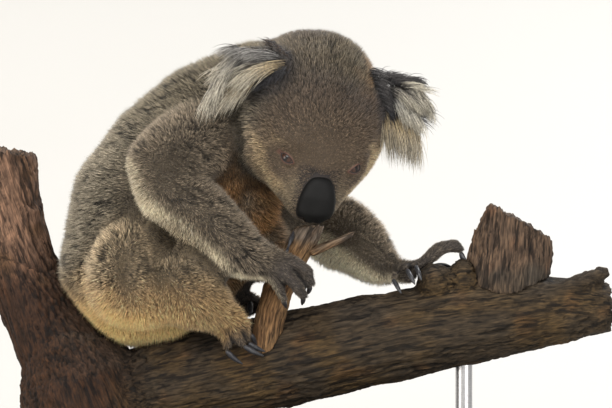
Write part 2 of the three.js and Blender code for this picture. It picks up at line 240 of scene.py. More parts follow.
def new_mesh(name: str, points: Rows, faces: Rows) -> Piece:
    """Makes an object from arrays.

    Args:
        name: the piece's name.
        points: rows of vertex positions.
        faces: rows of vertex numbers, all with the same number of corners.

    Returns:
        The new object, linked to the scene, shaded smooth.
    """
    mesh = bpy.data.meshes.new(name)
    count, corners = faces.shape
    mesh.vertices.add(len(points))
    mesh.vertices.foreach_set("co", points.astype(np.float32).ravel())
    mesh.loops.add(count * corners)
    mesh.loops.foreach_set("vertex_index", faces.astype(np.int32).ravel())
    mesh.polygons.add(count)
    mesh.polygons.foreach_set("loop_start", np.arange(0, count * corners, corners, dtype=np.int32))
    mesh.update(calc_edges=True)
    mesh.polygons.foreach_set("use_smooth", np.ones(count, dtype=bool))
    obj = bpy.data.objects.new(name, mesh)
    bpy.context.scene.collection.objects.link(obj)
    return obj


def paint(obj: Piece, name: str, colours: Rows) -> None:
    """Stores one colour for each vertex as a named attribute."""
    rows = np.ones((len(colours), 4), dtype=np.float32)
    rows[:, :3] = np.clip(colours, 0.0, 1.0)
    attribute = obj.data.color_attributes.new(name, "FLOAT_COLOR", "POINT")
    attribute.data.foreach_set("color", rows.ravel())


def store_vectors(obj: Piece, name: str, rows: Rows) -> None:
    """Stores one vector for each vertex as a named attribute."""
    attribute = obj.data.attributes.new(name, "FLOAT_VECTOR", "POINT")
    attribute.data.foreach_set("vector", rows.astype(np.float32).ravel())


def copy_node(node: str, name: str, grow: float = 0.0) -> Piece:
    """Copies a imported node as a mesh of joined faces.

    Args:
        node: the node's name.
        name: the copy's name.
        grow: how far the copy is moved out along its normals.

    Returns:
        The copy, with shared vertices merged.
    """
    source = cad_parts[node]
    mesh = source.data.copy()
    mesh.materials.clear()
    work = bmesh.new()
    work.from_mesh(mesh)
    bmesh.ops.remove_doubles(work, verts=work.verts, dist=0.02 * MM)
    work.normal_update()
    for vertex in work.verts:
        vertex.co += vertex.normal * grow
    work.to_mesh(mesh)
    work.free()
    copy = bpy.data.objects.new(name, mesh)
    bpy.context.scene.collection.objects.link(copy)
    return copy


def join(objects: list[Piece], name: str) -> Piece:
    """Joins objects into the first of them and names it."""
    deselect()
    for obj in objects:
        obj.select_set(True)
    bpy.context.view_layer.objects.active = objects[0]
    bpy.ops.object.join()
    objects[0].name = name
    objects[0].data.name = name
    return objects[0]


def relax(points: Rows, edges: Rows, share: Rows | float, rounds: int) -> Rows:
    """Moves each vertex toward the middle of its neighbours.

    Args:
        points: rows of positions, or of any other values.
        edges: rows of vertex pairs.
        share: how far each vertex moves in one round, from 0 to 1, by vertex or for all.
        rounds: how often.

    Returns:
        The relaxed rows.
    """
    ends = np.concatenate([edges[:, 0], edges[:, 1]])
    others = np.concatenate([edges[:, 1], edges[:, 0]])
    count = np.maximum(np.bincount(ends, minlength=len(points)), 1)[:, None]
    rows = points.copy()
    step = np.broadcast_to(share, len(rows))[:, None]
    for _ in range(rounds):
        sums = [np.bincount(ends, column[others], minlength=len(rows)) for column in rows.T]
        total = np.stack(sums, axis=1)
        rows += (total / count - rows) * step
    return rows


# -- The animal's build: where each bone runs, and what coat it carries


@dataclass(frozen=True)
class HeadFrame:
    """The head's own axes: X to the nose, Y to its left side, Z to the crown."""

    at: Vec = (9.7 * MM, -60 * MM, 351.5 * MM)
    yaw: float = 4.4
    pitch: float = 53.9
    roll: float = 14.3

    def axes(self) -> Rows:
        """The three axes as rows, in the model's frame."""
        yaw, pitch, roll = (math.radians(angle) for angle in (self.yaw, self.pitch, self.roll))
        forward = np.array([
            math.sin(yaw) * math.cos(pitch), -math.cos(yaw) * math.cos(pitch), -math.sin(pitch)
        ])
        level = np.array([math.cos(yaw), math.sin(yaw), 0.0])
        crown = np.cross(forward, level)
        side = level * math.cos(roll) - crown * math.sin(roll)
        return np.stack([forward, side, np.cross(forward, side)])

    def inside(self, points: Rows) -> Rows:
        """Points of the model in the head's own axes, in millimetres."""
        return (points - np.array(self.at)) @ self.axes().T / MM

    def outside(self, points: Rows) -> Rows:
        """Points given in the head's own axes, in millimetres, in the model's frame."""
        return np.asarray(points) * MM @ self.axes() + np.array(self.at)


HEAD = HeadFrame()


@dataclass(frozen=True)
class Coat:
    """How the hair of a region grows.

    Sizes are in millimetres and angles in degrees from the skin. Partings run along `parting`.
    """

    depth: float
    length: float
    width: float
    spacing: float
    rise: float
    lie: float
    short: bool = False
    droop: float = 0.3
    parting: Vec | None = None


COATS: dict[Region, Coat] = {
    Region.HEAD: Coat(4.0, 5.0, 0.78, 0.86, 66, 46, droop=0.0),
    Region.NECK: Coat(7.6, 8.4, 1.00, 1.09, 82, 64, droop=0.2, parting=(1.0, 0.0, 0.5)),
    Region.TRUNK: Coat(7.8, 8.6, 1.02, 1.11, 82, 62, droop=0.2, parting=(1.0, 0.0, 0.15)),
    Region.UPPER_ARM: Coat(7.0, 7.8, 0.98, 1.07, 84, 68, droop=0.2, parting=(1.0, 0.0, -0.35)),
    Region.FOREARM: Coat(6.0, 7.0, 0.94, 1.03, 84, 66, droop=0.2, parting=(1.0, 0.0, -0.75)),
    Region.HAND: Coat(0.7, 3.4, 0.76, 0.98, 28, 12, short=True, droop=0.0),
    Region.THIGH: Coat(7.4, 8.2, 1.00, 1.09, 84, 68, droop=0.4, parting=(0.0, 0.0, 1.0)),
    Region.SHANK: Coat(6.2, 7.2, 0.96, 1.05, 80, 60, droop=0.3, parting=(0.4, 0.0, 1.0)),
    Region.FOOT: Coat(1.8, 4.2, 0.84, 1.06, 28, 12, short=True, droop=0.0),
}


@dataclass(frozen=True)
class Bone:
    """A stretch of the body: the line it follows, in the direction the hair lies, in millimetres."""

    region: Region
    line: tuple[Vec, ...]
    radius: float


BONES: tuple[Bone, ...] = (
    Bone(Region.HEAD, ((84, -96, 270), (10, -60, 352), (-2, -10, 414)), 62),
    Bone(Region.NECK, ((16, -38, 386), (-54, -14, 376)), 60),
    Bone(Region.TRUNK, ((-54, -14, 376), (-88, -4, 350), (-120, 2, 317), (-148, 5, 274),
                        (-168, 8, 228), (-164, 8, 184), (-160, 8, 140)), 78),
    Bone(Region.UPPER_ARM, ((-64, -36, 358), (-95, -60, 338), (-132, -94, 310), (-160, -104, 297)), 40),
    Bone(Region.FOREARM, ((-160, -101, 299), (-132, -103, 291), (-93, -99, 261), (-64, -92, 232),
                          (-46, -85, 222)), 32),
    Bone(Region.HAND, ((-46, -85, 222), (-20, -84, 212), (0, -84, 198)), 20),
    Bone(Region.UPPER_ARM, ((-66, 44, 350), (-32, 56, 306), (0, 54, 262), (22, 46, 246)), 42),
    Bone(Region.FOREARM, ((6, 48, 280), (38, 40, 248), (58, 24, 228), (74, 10, 214), (80, 5, 211)), 30),
    Bone(Region.HAND, ((80, 5, 211), (96, -8, 211), (100, -30, 212)), 18),
    Bone(Region.HAND, ((98, -4, 211), (114, -4, 218), (136, -4, 240), (146, -4, 234)), 9),
    Bone(Region.THIGH, ((-184, -20, 184), (-162, -52, 202), (-144, -80, 217), (-128, -96, 222)), 54),
    Bone(Region.SHANK, ((-138, -86, 222), (-112, -84, 196), (-92, -72, 181), (-80, -66, 173)), 38),
    Bone(Region.FOOT, ((-80, -66, 173), (-68, -60, 156), (-64, -58, 140)), 20),
    Bone(Region.THIGH, ((-196, 36, 184), (-168, 66, 205), (-140, 86, 222), (-124, 96, 224)), 50),
    Bone(Region.SHANK, ((-130, 90, 222), (-104, 78, 206), (-80, 62, 190), (-70, 54, 184)), 34),
    Bone(Region.FOOT, ((-70, 54, 184), (-60, 30, 180), (-56, 0, 180)), 20),
)

FLESH_NODES: tuple[str, ...] = ("head", "neck", "trunk") + tuple(
    f"{part}_{side.word}"
    for side in Side
    for part in ("upper_arm", "forearm", "hand", "thigh", "shank", "foot")
)
EAR_NODES: tuple[str, ...] = tuple(f"ear_{side.word}" for side in Side)


@dataclass
class Anatomy:
    """What the bones say about points on the body: whose they are, and which way the hair lies."""

    share: Rows = field(default_factory=lambda: np.zeros(0))
    flow: Rows = field(default_factory=lambda: np.zeros(0))
    along: Rows = field(default_factory=lambda: np.zeros(0))
    bone: Rows = field(default_factory=lambda: np.zeros(0))
    away: Rows = field(default_factory=lambda: np.zeros(0))

    @classmethod
    def of(cls, points: Rows) -> "Anatomy":
        """Reads the bones at each point.

        Args:
            points: rows of positions in the model's frame.

        Returns:
            Shares by region, the bones' own direction, how far along the nearest bone a point
            is, which bone that is, and the arm from it to the point, all by point.
        """
        near, flows, alongs, arms = [], [], [], []
        for bone in BONES:
            distance, tangent, along, arm = cls.measure(points, np.array(bone.line) * MM)
            near.append(distance / (bone.radius * MM))
            flows.append(tangent)
            alongs.append(along)
            arms.append(arm)
        near = np.array(near)
        weight = np.exp(-9.0 * (near - near.min(axis=0)))
        weight /= weight.sum(axis=0)
        share = np.zeros((len(points), len(Region)))
        for bone, row in zip(BONES, weight):
            share[:, bone.region.value] += row
        best = near.argmin(axis=0)
        rows = np.arange(len(points))
        return cls(
            share=share,
            flow=unit((weight[:, :, None] * np.array(flows)).sum(axis=0)),
            along=np.array(alongs)[best, rows],
            bone=best,
            away=np.array(arms)[best, rows],
        )

    @staticmethod
    def measure(points: Rows, line: Rows) -> tuple[Rows, ...]:
        """Measures points against one line.

        Args:
            points: rows of positions.
            line: rows of the line's corners.

        Returns:
            Distance, the line's direction, the share of the line's length, and the arm from the
            line, each by point.
        """
        starts, spans = line[:-1], np.diff(line, axis=0)
        lengths = np.linalg.norm(spans, axis=1)
        shares = np.clip(
            ((points[:, None] - starts) * spans).sum(-1) / (lengths**2), 0.0, 1.0
        )
        closest = starts + shares[..., None] * spans
        gaps = np.linalg.norm(points[:, None] - closest, axis=2)
        pick = gaps.argmin(axis=1)
        rows = np.arange(len(points))
        before = np.concatenate([[0.0], np.cumsum(lengths)[:-1]])
        along = (before[pick] + shares[rows, pick] * lengths[pick]) / lengths.sum()
        soft = np.exp(-((gaps - gaps.min(axis=1, keepdims=True)) / (12 * MM)))
        tangent = unit((soft[..., None] * (spans / lengths[:, None])).sum(axis=1))
        return gaps[rows, pick], tangent, along, points - closest[rows, pick]

    def part(self, *regions: Region) -> Rows:
        """How much each point belongs to the given regions, from 0 to 1."""
        return self.share[:, [region.value for region in regions]].sum(axis=1)

    def blend(self, pick: str) -> Rows:
        """A size of the coat, blended between the regions, by point."""
        values = np.array([getattr(COATS[region], pick) for region in Region], dtype=float)
        return self.share @ values


# -- Markings: one set of colours for skin and coat


@dataclass(frozen=True)
class Palette:
    """The coat's colours, as linear values."""

    back: Colour = (0.230, 0.199, 0.147)
    neck: Colour = (0.140, 0.118, 0.080)
    crown: Colour = (0.072, 0.051, 0.037)
    face: Colour = (0.152, 0.110, 0.072)
    cheek: Colour = (0.500, 0.375, 0.220)
    muzzle: Colour = (0.250, 0.196, 0.124)
    arm: Colour = (0.212, 0.170, 0.121)
    fringe: Colour = (0.820, 0.715, 0.515)
    # Cream rump fur, painted warmer and brighter as if lit by warm light bounced from below.
    rump: Colour = (0.980, 0.600, 0.250)
    thigh: Colour = (0.340, 0.266, 0.172)
    shank: Colour = (0.275, 0.198, 0.108)
    # Pale chest fur, painted in the warm orange-brown that it shows in shade.
    chest: Colour = (0.430, 0.215, 0.075)
    paw: Colour = (0.098, 0.080, 0.062)
    slate: Colour = (0.034, 0.033, 0.038)
    bare: Colour = (0.020, 0.016, 0.015)
    lid: Colour = (0.105, 0.052, 0.038)
    pinna: Colour = (0.120, 0.085, 0.062)


PALETTE = Palette()


class Markings:
    """Says what colour the coat has at each place on the body."""

    def __init__(self, noise: Noise) -> None:
        """Keeps the noise that breaks the edges of the markings."""
        self.noise = noise

    def colour(self, points: Rows, normals: Rows, anatomy: Anatomy) -> Rows:
        """Works out the colour by point.

        Args:
            points: rows of positions.
            normals: the skin's normals there.
            anatomy: what the bones say there.

        Returns:
            Rows of linear colours.
        """
        down = -normals[:, 2]
        swirl = self.noise.at(points, 22 * MM)
        ragged = swirl * 0.16
        base = np.zeros((len(points), 3))
        for region, colour in (
            (Region.HEAD, PALETTE.crown), (Region.NECK, PALETTE.neck), (Region.TRUNK, PALETTE.back),
            (Region.UPPER_ARM, PALETTE.arm), (Region.FOREARM, PALETTE.arm), (Region.HAND, PALETTE.paw),
            (Region.THIGH, PALETTE.thigh), (Region.SHANK, PALETTE.shank), (Region.FOOT, PALETTE.paw),
        ):
            base += anatomy.part(region)[:, None] * np.array(colour)
        height = points[:, 2] / MM
        # Cream on the rump and the backs of the legs, low down, with painted warm light bounced from
        # below.
        lower = smoothstep(216, 150, height + ragged * 60)
        seat = anatomy.part(Region.TRUNK, Region.THIGH, Region.SHANK)
        base = mix(base, PALETTE.rump, lower * seat * (0.9 - 0.5 * anatomy.part(Region.SHANK)))
        # The shoulders and neck are lighter on top.
        base = mix(base, PALETTE.neck, anatomy.part(Region.TRUNK) * smoothstep(320, 385, height) * 0.8)
        # The pale trailing edge of the arms.
        arms = anatomy.part(Region.UPPER_ARM, Region.FOREARM)
        behind = smoothstep(0.25, 0.75, -normals[:, 0] * 0.8 + down * 0.6 + ragged * 0.5)
        behind = behind * (1.0 - 0.55 * smoothstep(258, 296, height))
        base = mix(base, PALETTE.fringe, arms * behind * 0.95)
        # Painted light: the upward-facing coat of the left arm is brightened as if in sun.
        left = arms * smoothstep(10, 34, points[:, 1] / MM) * smoothstep(-0.3, 0.5, normals[:, 2])
        base = base * (1.0 + 0.7 * left)[:, None]
        # Throat, chest and belly: pale fur painted in the warm colour it shows in shade.
        front = smoothstep(0.1, 0.7, normals[:, 0] * 0.7 - normals[:, 2] * 0.6 + ragged)
        core = anatomy.part(Region.NECK, Region.TRUNK)
        base = mix(base, PALETTE.chest, core * front * 0.9 * smoothstep(170, 210, height))
        return self.face(base, points, normals, anatomy.part(Region.HEAD), ragged)

    @staticmethod
    def face(base: Rows, points: Rows, normals: Rows, share: Rows,
             ragged: Rows) -> Rows:
        """Adds the head's own markings.

        Args:
            base: rows of colours to start from.
            points: rows of positions.
            normals: the skin's normals there.
            share: how much of each point is head.
            ragged: how far the edge of a marking wanders there.

        Returns:
            Rows of linear colours.
        """
        ahead, side, up = HEAD.inside(points).T
        across = np.abs(side)
        facing = normals @ HEAD.axes().T
        outward = facing @ np.array([0.50, 0.0, -0.61]) + facing[:, 1] * np.sign(side) * 0.62
        base = mix(base, PALETTE.face, share * smoothstep(-10, 45, ahead + ragged * 40) * 0.9)
        eye = np.linalg.norm(np.stack([ahead, across, up], axis=1) - np.array(EYE_AT), axis=1)
        cheek = smoothstep(0.42, 0.74, outward + ragged * 0.4) * smoothstep(18, 32, across)
        cheek = cheek * smoothstep(16, 26, eye)
        base = mix(base, PALETTE.cheek, share * cheek * 0.95)
        jaw = smoothstep(-22, -40, up + ragged * 20) * smoothstep(10, 22, across)
        base = mix(base, PALETTE.cheek, share * jaw * 0.8)
        muzzle = smoothstep(58, 72, ahead) * smoothstep(12, 20, across)
        base = mix(base, PALETTE.muzzle, share * muzzle * 0.8)
        chin = smoothstep(-44, -58, up + ragged * 20)
        base = mix(base, PALETTE.fringe, share * chin * 0.7)
        for middle, _turn, _size in PINNAE.values():
            gap = np.linalg.norm(points / MM - np.array(middle), axis=1)
            base = mix(base, PALETTE.slate, smoothstep(40, 26, gap) * 0.75)
        return base


# -- Materials


class Dresser:
    """Builds a material's nodes with short calls."""

    def __init__(self, name: str) -> None:
        """Starts a material with only its Principled shader."""
        self.material = bpy.data.materials.new(name)
        self.material.use_nodes = True
        self.nodes = self.material.node_tree.nodes
        self.links = self.material.node_tree.links
        self.shader = self.nodes["Principled BSDF"]

    def add(self, kind: str, **settings: object) -> bpy.types.Node:
        """Adds a node; settings name its properties, or its inputs in single words."""
        node = self.nodes.new(kind)
        for name, value in settings.items():
            if hasattr(node, name):
                setattr(node, name, value)
            else:
                node.inputs[name.replace("_", " ").title()].default_value = value
        return node

    def link(self, source: Socket, target: Socket) -> None:
        """Links an output to an input."""
        self.links.new(source, target)

    def shader_values(self, **values: object) -> None:
        """Sets the shader's own sockets, by name with _ for a space."""
        for name, value in values.items():
            self.shader.inputs[name.replace("_", " ")].default_value = value

    def attribute(self, name: str, output: str = "Color") -> Socket:
        """What a named attribute of the mesh says."""
        return self.add("ShaderNodeAttribute", attribute_name=name).outputs[output]

    def noise(self, vector: Socket, scale: float, detail: float = 3.0) -> Socket:
        """Noise on the given coordinates."""
        node = self.add("ShaderNodeTexNoise")
        node.inputs["Scale"].default_value = scale
        node.inputs["Detail"].default_value = detail
        self.link(vector, node.inputs["Vector"])
        return node.outputs["Fac"]

    def object_place(self) -> Socket:
        """The object's own coordinates."""
        return self.add("ShaderNodeTexCoord").outputs["Object"]

    def stretch(self, vector: Socket, scale: Vec) -> Socket:
        """Coordinates scaled by axis."""
        node = self.add("ShaderNodeMapping")
        node.inputs["Scale"].default_value = scale
        self.link(vector, node.inputs["Vector"])
        return node.outputs["Vector"]

    def ramp(self, value: Socket, *stops: tuple[float, Colour]) -> Socket:
        """A colour ramp over a value."""
        node = self.add("ShaderNodeValToRGB")
        elements = node.color_ramp.elements
        for index, (place, colour) in enumerate(stops):
            element = elements[index] if index < 2 else elements.new(place)
            element.position = place
            element.color = (*colour, 1.0)
        self.link(value, node.inputs["Fac"])
        return node.outputs["Color"]

    def blend(self, first: Source, second: Source, share: Source, how: str = "MIX") -> Socket:
        """Mixes two colours; each of the three may be a socket or a value."""
        node = self.add("ShaderNodeMix", data_type="RGBA", blend_type=how)
        for socket, value in ((node.inputs[6], first), (node.inputs[7], second), (node.inputs[0], share)):
            if isinstance(value, Socket):
                self.link(value, socket)
            elif isinstance(value, tuple):
                socket.default_value = (*value, 1.0)
            else:
                socket.default_value = value
        return node.outputs[2]

    def bump(self, height: Socket, distance: float, strength: float = 1.0) -> None:
        """Raises the surface by a height."""
        node = self.add("ShaderNodeBump")
        node.inputs["Strength"].default_value = strength
        node.inputs["Distance"].default_value = distance
        self.link(height, node.inputs["Height"])
        self.link(node.outputs["Normal"], self.shader.inputs["Normal"])

    def colour(self, socket: Socket) -> None:
        """Feeds the shader's base colour."""
        self.link(socket, self.shader.inputs["Base Color"])

    def clear_from_behind(self) -> None:
        """Lets a view from behind the surface pass through it."""
        side = self.add("ShaderNodeNewGeometry").outputs["Backfacing"]
        clear = self.add("ShaderNodeBsdfTransparent")
        both = self.add("ShaderNodeMixShader")
        self.link(side, both.inputs["Fac"])
        self.link(self.shader.outputs["BSDF"], both.inputs[1])
        self.link(clear.outputs["BSDF"], both.inputs[2])
        self.link(both.outputs["Shader"], self.nodes["Material Output"].inputs["Surface"])

    def roughness(self, socket: Socket, low: float, high: float) -> None:
        """Feeds the shader's roughness from a value, mapped between two ends."""
        node = self.add("ShaderNodeMapRange")
        node.inputs["To Min"].default_value = low
        node.inputs["To Max"].default_value = high
        self.link(socket, node.inputs["Value"])
        self.link(node.outputs["Result"], self.shader.inputs["Roughness"])


class Finish:
    """What a surface is finished with; each kind lays its own nodes."""

    name: str

    def make(self) -> bpy.types.Material:
        """Builds the material."""
        dress = Dresser(self.name)
        self.lay(dress)
        return dress.material

    def lay(self, dress: Dresser) -> None:
        """Lays the nodes."""
        raise NotImplementedError


@dataclass(frozen=True)
class HairFinish(Finish):
    """Dull soft hair, coloured by its own attribute."""

    name: str = "hair"
    roughness: float = 0.72
    sheen: float = 0.08

    def lay(self, dress: Dresser) -> None:
        """Lays the nodes."""
        colour = dress.attribute("coat")
        speck = dress.noise(dress.object_place(), 420.0, 2.0)
        tone = dress.ramp(speck, (0.3, (0.66, 0.66, 0.66)), (0.7, (1.25, 1.25, 1.25)))
        dress.colour(dress.blend(colour, tone, 1.0, "MULTIPLY"))
        dress.shader_values(Roughness=self.roughness, Sheen_Weight=self.sheen, Sheen_Roughness=0.6,
                            Specular_IOR_Level=0.25)


@dataclass(frozen=True)
class SkinFinish(Finish):
    """Skin under the coat, with the same markings and a fine grain."""

    name: str = "skin"

    def lay(self, dress: Dresser) -> None:
        """Lays the nodes."""
        dress.colour(dress.attribute("coat"))
        place = dress.object_place()
        fine = dress.noise(place, 900.0, 4.0)
        dress.bump(fine, 0.4 * MM, 0.7)
        dress.roughness(fine, 0.62, 0.85)
        dress.shader_values(Specular_IOR_Level=0.3)


@dataclass(frozen=True)
class NoseFinish(Finish):
    """Bare charcoal skin with a leathery grain, darkened by painted shade in the nostrils."""

    name: str = "nose_leather"

    def lay(self, dress: Dresser) -> None:
        """Lays the nodes."""
        place = dress.object_place()
        cells = dress.add("ShaderNodeTexVoronoi", feature="DISTANCE_TO_EDGE")
        cells.inputs["Scale"].default_value = 850.0
        dress.link(place, cells.inputs["Vector"])
        patch = dress.noise(place, 90.0, 4.0)
        base = dress.ramp(patch, (0.3, (0.003, 0.003, 0.003)), (0.72, (0.006, 0.006, 0.006)))
        # The coat attribute holds painted shade in the nostrils.
        rim = dress.attribute("coat")
        dress.colour(dress.blend(base, rim, 1.0, "MULTIPLY"))
        dress.bump(cells.outputs["Distance"], 0.25 * MM, 0.6)
        dress.roughness(patch, 0.50, 0.68)
        dress.shader_values(Specular_IOR_Level=0.16)


@dataclass(frozen=True)
class EyeFinish(Finish):
    """A brown iris with a dark slit, under a wet cornea."""

    name: str = "eye_wet"

    def lay(self, dress: Dresser) -> None:
        """Lays the nodes."""
        tone = dress.attribute("coat")
        fleck = dress.noise(dress.object_place(), 1400.0, 4.0)
        shade = dress.ramp(fleck, (0.3, (0.7, 0.7, 0.7)), (0.7, (1.25, 1.25, 1.25)))
        dress.colour(dress.blend(tone, shade, 1.0, "MULTIPLY"))
        dress.shader_values(Roughness=0.30, Specular_IOR_Level=0.2, Coat_Weight=0.35, Coat_Roughness=0.03)


@dataclass(frozen=True)
class HornFinish(Finish):
    """Dark claw horn with lengthwise growth lines."""

    name: str = "claw_horn"

    def lay(self, dress: Dresser) -> None:
        """Lays the nodes."""
        place = dress.object_place()
        streak = dress.noise(dress.stretch(place, (3.0, 3.0, 0.8)), 260.0, 5.0)
        dress.colour(dress.ramp(streak, (0.3, (0.008, 0.008, 0.010)), (0.75, (0.045, 0.046, 0.052))))
        dress.bump(streak, 0.15 * MM, 0.5)
        dress.roughness(streak, 0.28, 0.48)


@dataclass(frozen=True)
class WoodFinish(Finish):
    """Weathered wood, its grain following the limb by the mesh's own grain attribute."""

    name: str = "old_wood"
    bump: float = 1.1

    def lay(self, dress: Dresser) -> None:
        """Lays the nodes."""
        grain = dress.attribute("grain", "Vector")
        colour = dress.attribute("coat")
        long = dress.stretch(grain, (1.0, 1.0, 0.12))
        fibre = dress.noise(long, 640.0, 8.0)
        crack = dress.noise(long, 230.0, 6.0)
        stops = ((0.32, (0.36, 0.34, 0.33)), (0.5, (0.95, 0.95, 0.95)), (0.70, (1.85, 1.80, 1.74)))
        tone = dress.ramp(fibre, *stops)
        # Painted shade in the fine cracks.
        split = dress.ramp(crack, (0.41, (0.12, 0.11, 0.10)), (0.45, (1.0, 1.0, 1.0)))
        worn = dress.blend(dress.blend(colour, tone, 1.0, "MULTIPLY"), split, 0.8, "MULTIPLY")
        dress.colour(worn)
        height = dress.blend(fibre, crack, 0.55)
        dress.bump(height, self.bump * MM, 0.9)
        dress.roughness(fibre, 0.72, 0.94)
        dress.shader_values(Specular_IOR_Level=0.25)


@dataclass(frozen=True)
class PaintFinish(Finish):
    """Satin dark paint on board, with a faint roller texture."""

    name: str = "stand_paint"

    def lay(self, dress: Dresser) -> None:
        """Lays the nodes."""
        place = dress.object_place()
        orange = dress.noise(place, 700.0, 2.0)
        cloud = dress.noise(place, 14.0, 3.0)
        dress.colour(dress.ramp(cloud, (0.3, (0.024, 0.023, 0.022)), (0.7, (0.034, 0.033, 0.032))))
        dress.bump(orange, 0.08 * MM, 0.5)
        dress.roughness(cloud, 0.42, 0.55)


@dataclass(frozen=True)
class SteelFinish(Finish):
    """Brushed steel, with its brush marks round the rod."""

    name: str = "stand_steel"

    def lay(self, dress: Dresser) -> None:
        """Lays the nodes."""
        place = dress.object_place()
        brush = dress.noise(dress.stretch(place, (0.25, 0.25, 6.0)), 500.0, 3.0)
        dress.colour(dress.ramp(brush, (0.3, (0.36, 0.36, 0.37)), (0.7, (0.52, 0.52, 0.53))))
        dress.roughness(brush, 0.24, 0.42)
        dress.bump(brush, 0.03 * MM, 0.4)
        dress.shader_values(Metallic=1.0)


# -- The skin


# The middle of each ear's flap, the way that its hollow faces, and its thickness, width and
# height each way from the middle, in millimetres.
PINNAE: dict[Side, tuple[Vec, Vec, Vec]] = {
    Side.RIGHT: ((-42.0, -90.0, 402.0), (-0.25, -1.0, 0.10), (3.5, 25.0, 19.0)),
    Side.LEFT: ((90.0, -50.0, 366.0), (0.30, -1.0, 0.05), (3.5, 20.0, 23.0)),
}

# Swellings and hollows of the face: middle, size each way and height, in millimetres.
FACE_FOLDS: tuple[tuple[Vec, Vec, float], ...] = (
    ((52, 37, 4), (14, 14, 13), -1.2),
    ((44, 33, 24), (14, 15, 7), 1.6),
    ((56, 23, -2), (14, 6, 16), -2.2),
    ((62, 0, 14), (20, 9, 16), 0.6),
    ((72, 19, -24), (16, 7, 16), 2.4),
    ((78, 12, -46), (10, 8, 5), 1.6),
    ((82, 0, -44), (9, 3, 6), -2.6),
    ((66, 14, -52), (18, 12, 3), -2.8),
)


# The middle of the left eye, in millimetres in the head's own axes.
EYE_AT: Vec = (48.5, 30.0, 2.0)

# The hollow under the left cheekbone: middle, size each way and depth, in millimetres.
SLIM_AT: Vec = (64.0, -90.0, 300.0)
SLIM_SIZE: Vec = (26.0, 50.0, 24.0)
SLIM_DEEP = 9.0


@dataclass(frozen=True)
class Lids:
    """The two lids of an eye and the slit between them, in millimetres in the head's own axes."""

    side: Side
    eye_at: Vec = EYE_AT
    look: Vec = (0.58, 0.50, 0.64)
    radius: float = 8.5
    long: float = 6.0
    tall_above: float = 2.3
    tall_below: float = 2.8
    thick: float = 0.9
    reach: float = 16.0

    def centre(self) -> Rows:
        """The eyeball's middle."""
        return np.array(self.eye_at) * np.array([1.0, self.side.value, 1.0])

    def axes(self) -> Rows:
        """Three rows: toward the inner corner, up across the slit, and outward."""
        out = unit(np.array(self.look) * np.array([1.0, self.side.value, 1.0]))
        inward = unit(np.cross(out, np.array([0.0, 0.0, 1.0])))
        inward = inward * -np.sign(inward[1] * self.side.value)
        rise = np.cross(out, inward)
        return np.stack([inward, rise * np.sign(rise[2]), out])

    def edge(self, local: Rows) -> Rows:
        """How far outside the slit's edge each point lies, measured on the eyeball."""
        arm = local - self.centre()
        along, rise, out = self.axes() @ unit(arm).T * self.radius
        tall = np.where(rise > 0, self.tall_above, self.tall_below)
        width = np.clip(1.0 - (along / self.long) ** 2, 0.0, 1.0) ** 0.7
        edge = np.where(
            np.abs(along) < self.long, np.abs(rise) - tall * width,
            np.hypot(np.abs(along) - self.long, rise),
        )
        return np.where(out > 0, edge, 99.0)

    def near(self, local: Rows) -> Rows:
        """How much each point belongs to the lids, from 0 to 1."""
        arm = local - self.centre()
        far = np.linalg.norm(arm, axis=1)
        angle = np.degrees(np.arccos(np.clip(arm @ self.axes()[2] / np.maximum(far, 1e-6), -1, 1)))
        return smoothstep(92, 62, angle) * smoothstep(self.reach, self.reach * 0.70, far)

    def fold(self, local: Rows) -> Rows:
        """Draws the skin over the eyeball as two lids and sinks it behind the slit."""
        arm = local - self.centre()
        ways = unit(arm)
        edge = self.edge(local)
        above = (ways @ self.axes()[1]) > 0
        rim = np.exp(-((edge - 0.8) / 0.7) ** 2) * 0.35
        crease = np.exp(-((edge - 3.6) / 0.9) ** 2) * np.where(above, 0.8, 0.4)
        cover = self.radius + self.thick + rim - crease
        hidden = smoothstep(0.25, -0.25, edge)
        target = cover * (1 - hidden) + (self.radius - 0.8) * hidden
        hold = self.near(local)[:, None]
        moved = self.centre() + ways * target[:, None]
        return local * (1 - hold) + moved * hold


LIDS: tuple[Lids, ...] = tuple(Lids(side) for side in Side)


def folded(local: Rows) -> Rows:
    """Points of both halves of the head, laid on its left half."""
    return np.stack([local[:, 0], np.abs(local[:, 1]), local[:, 2]], axis=1)


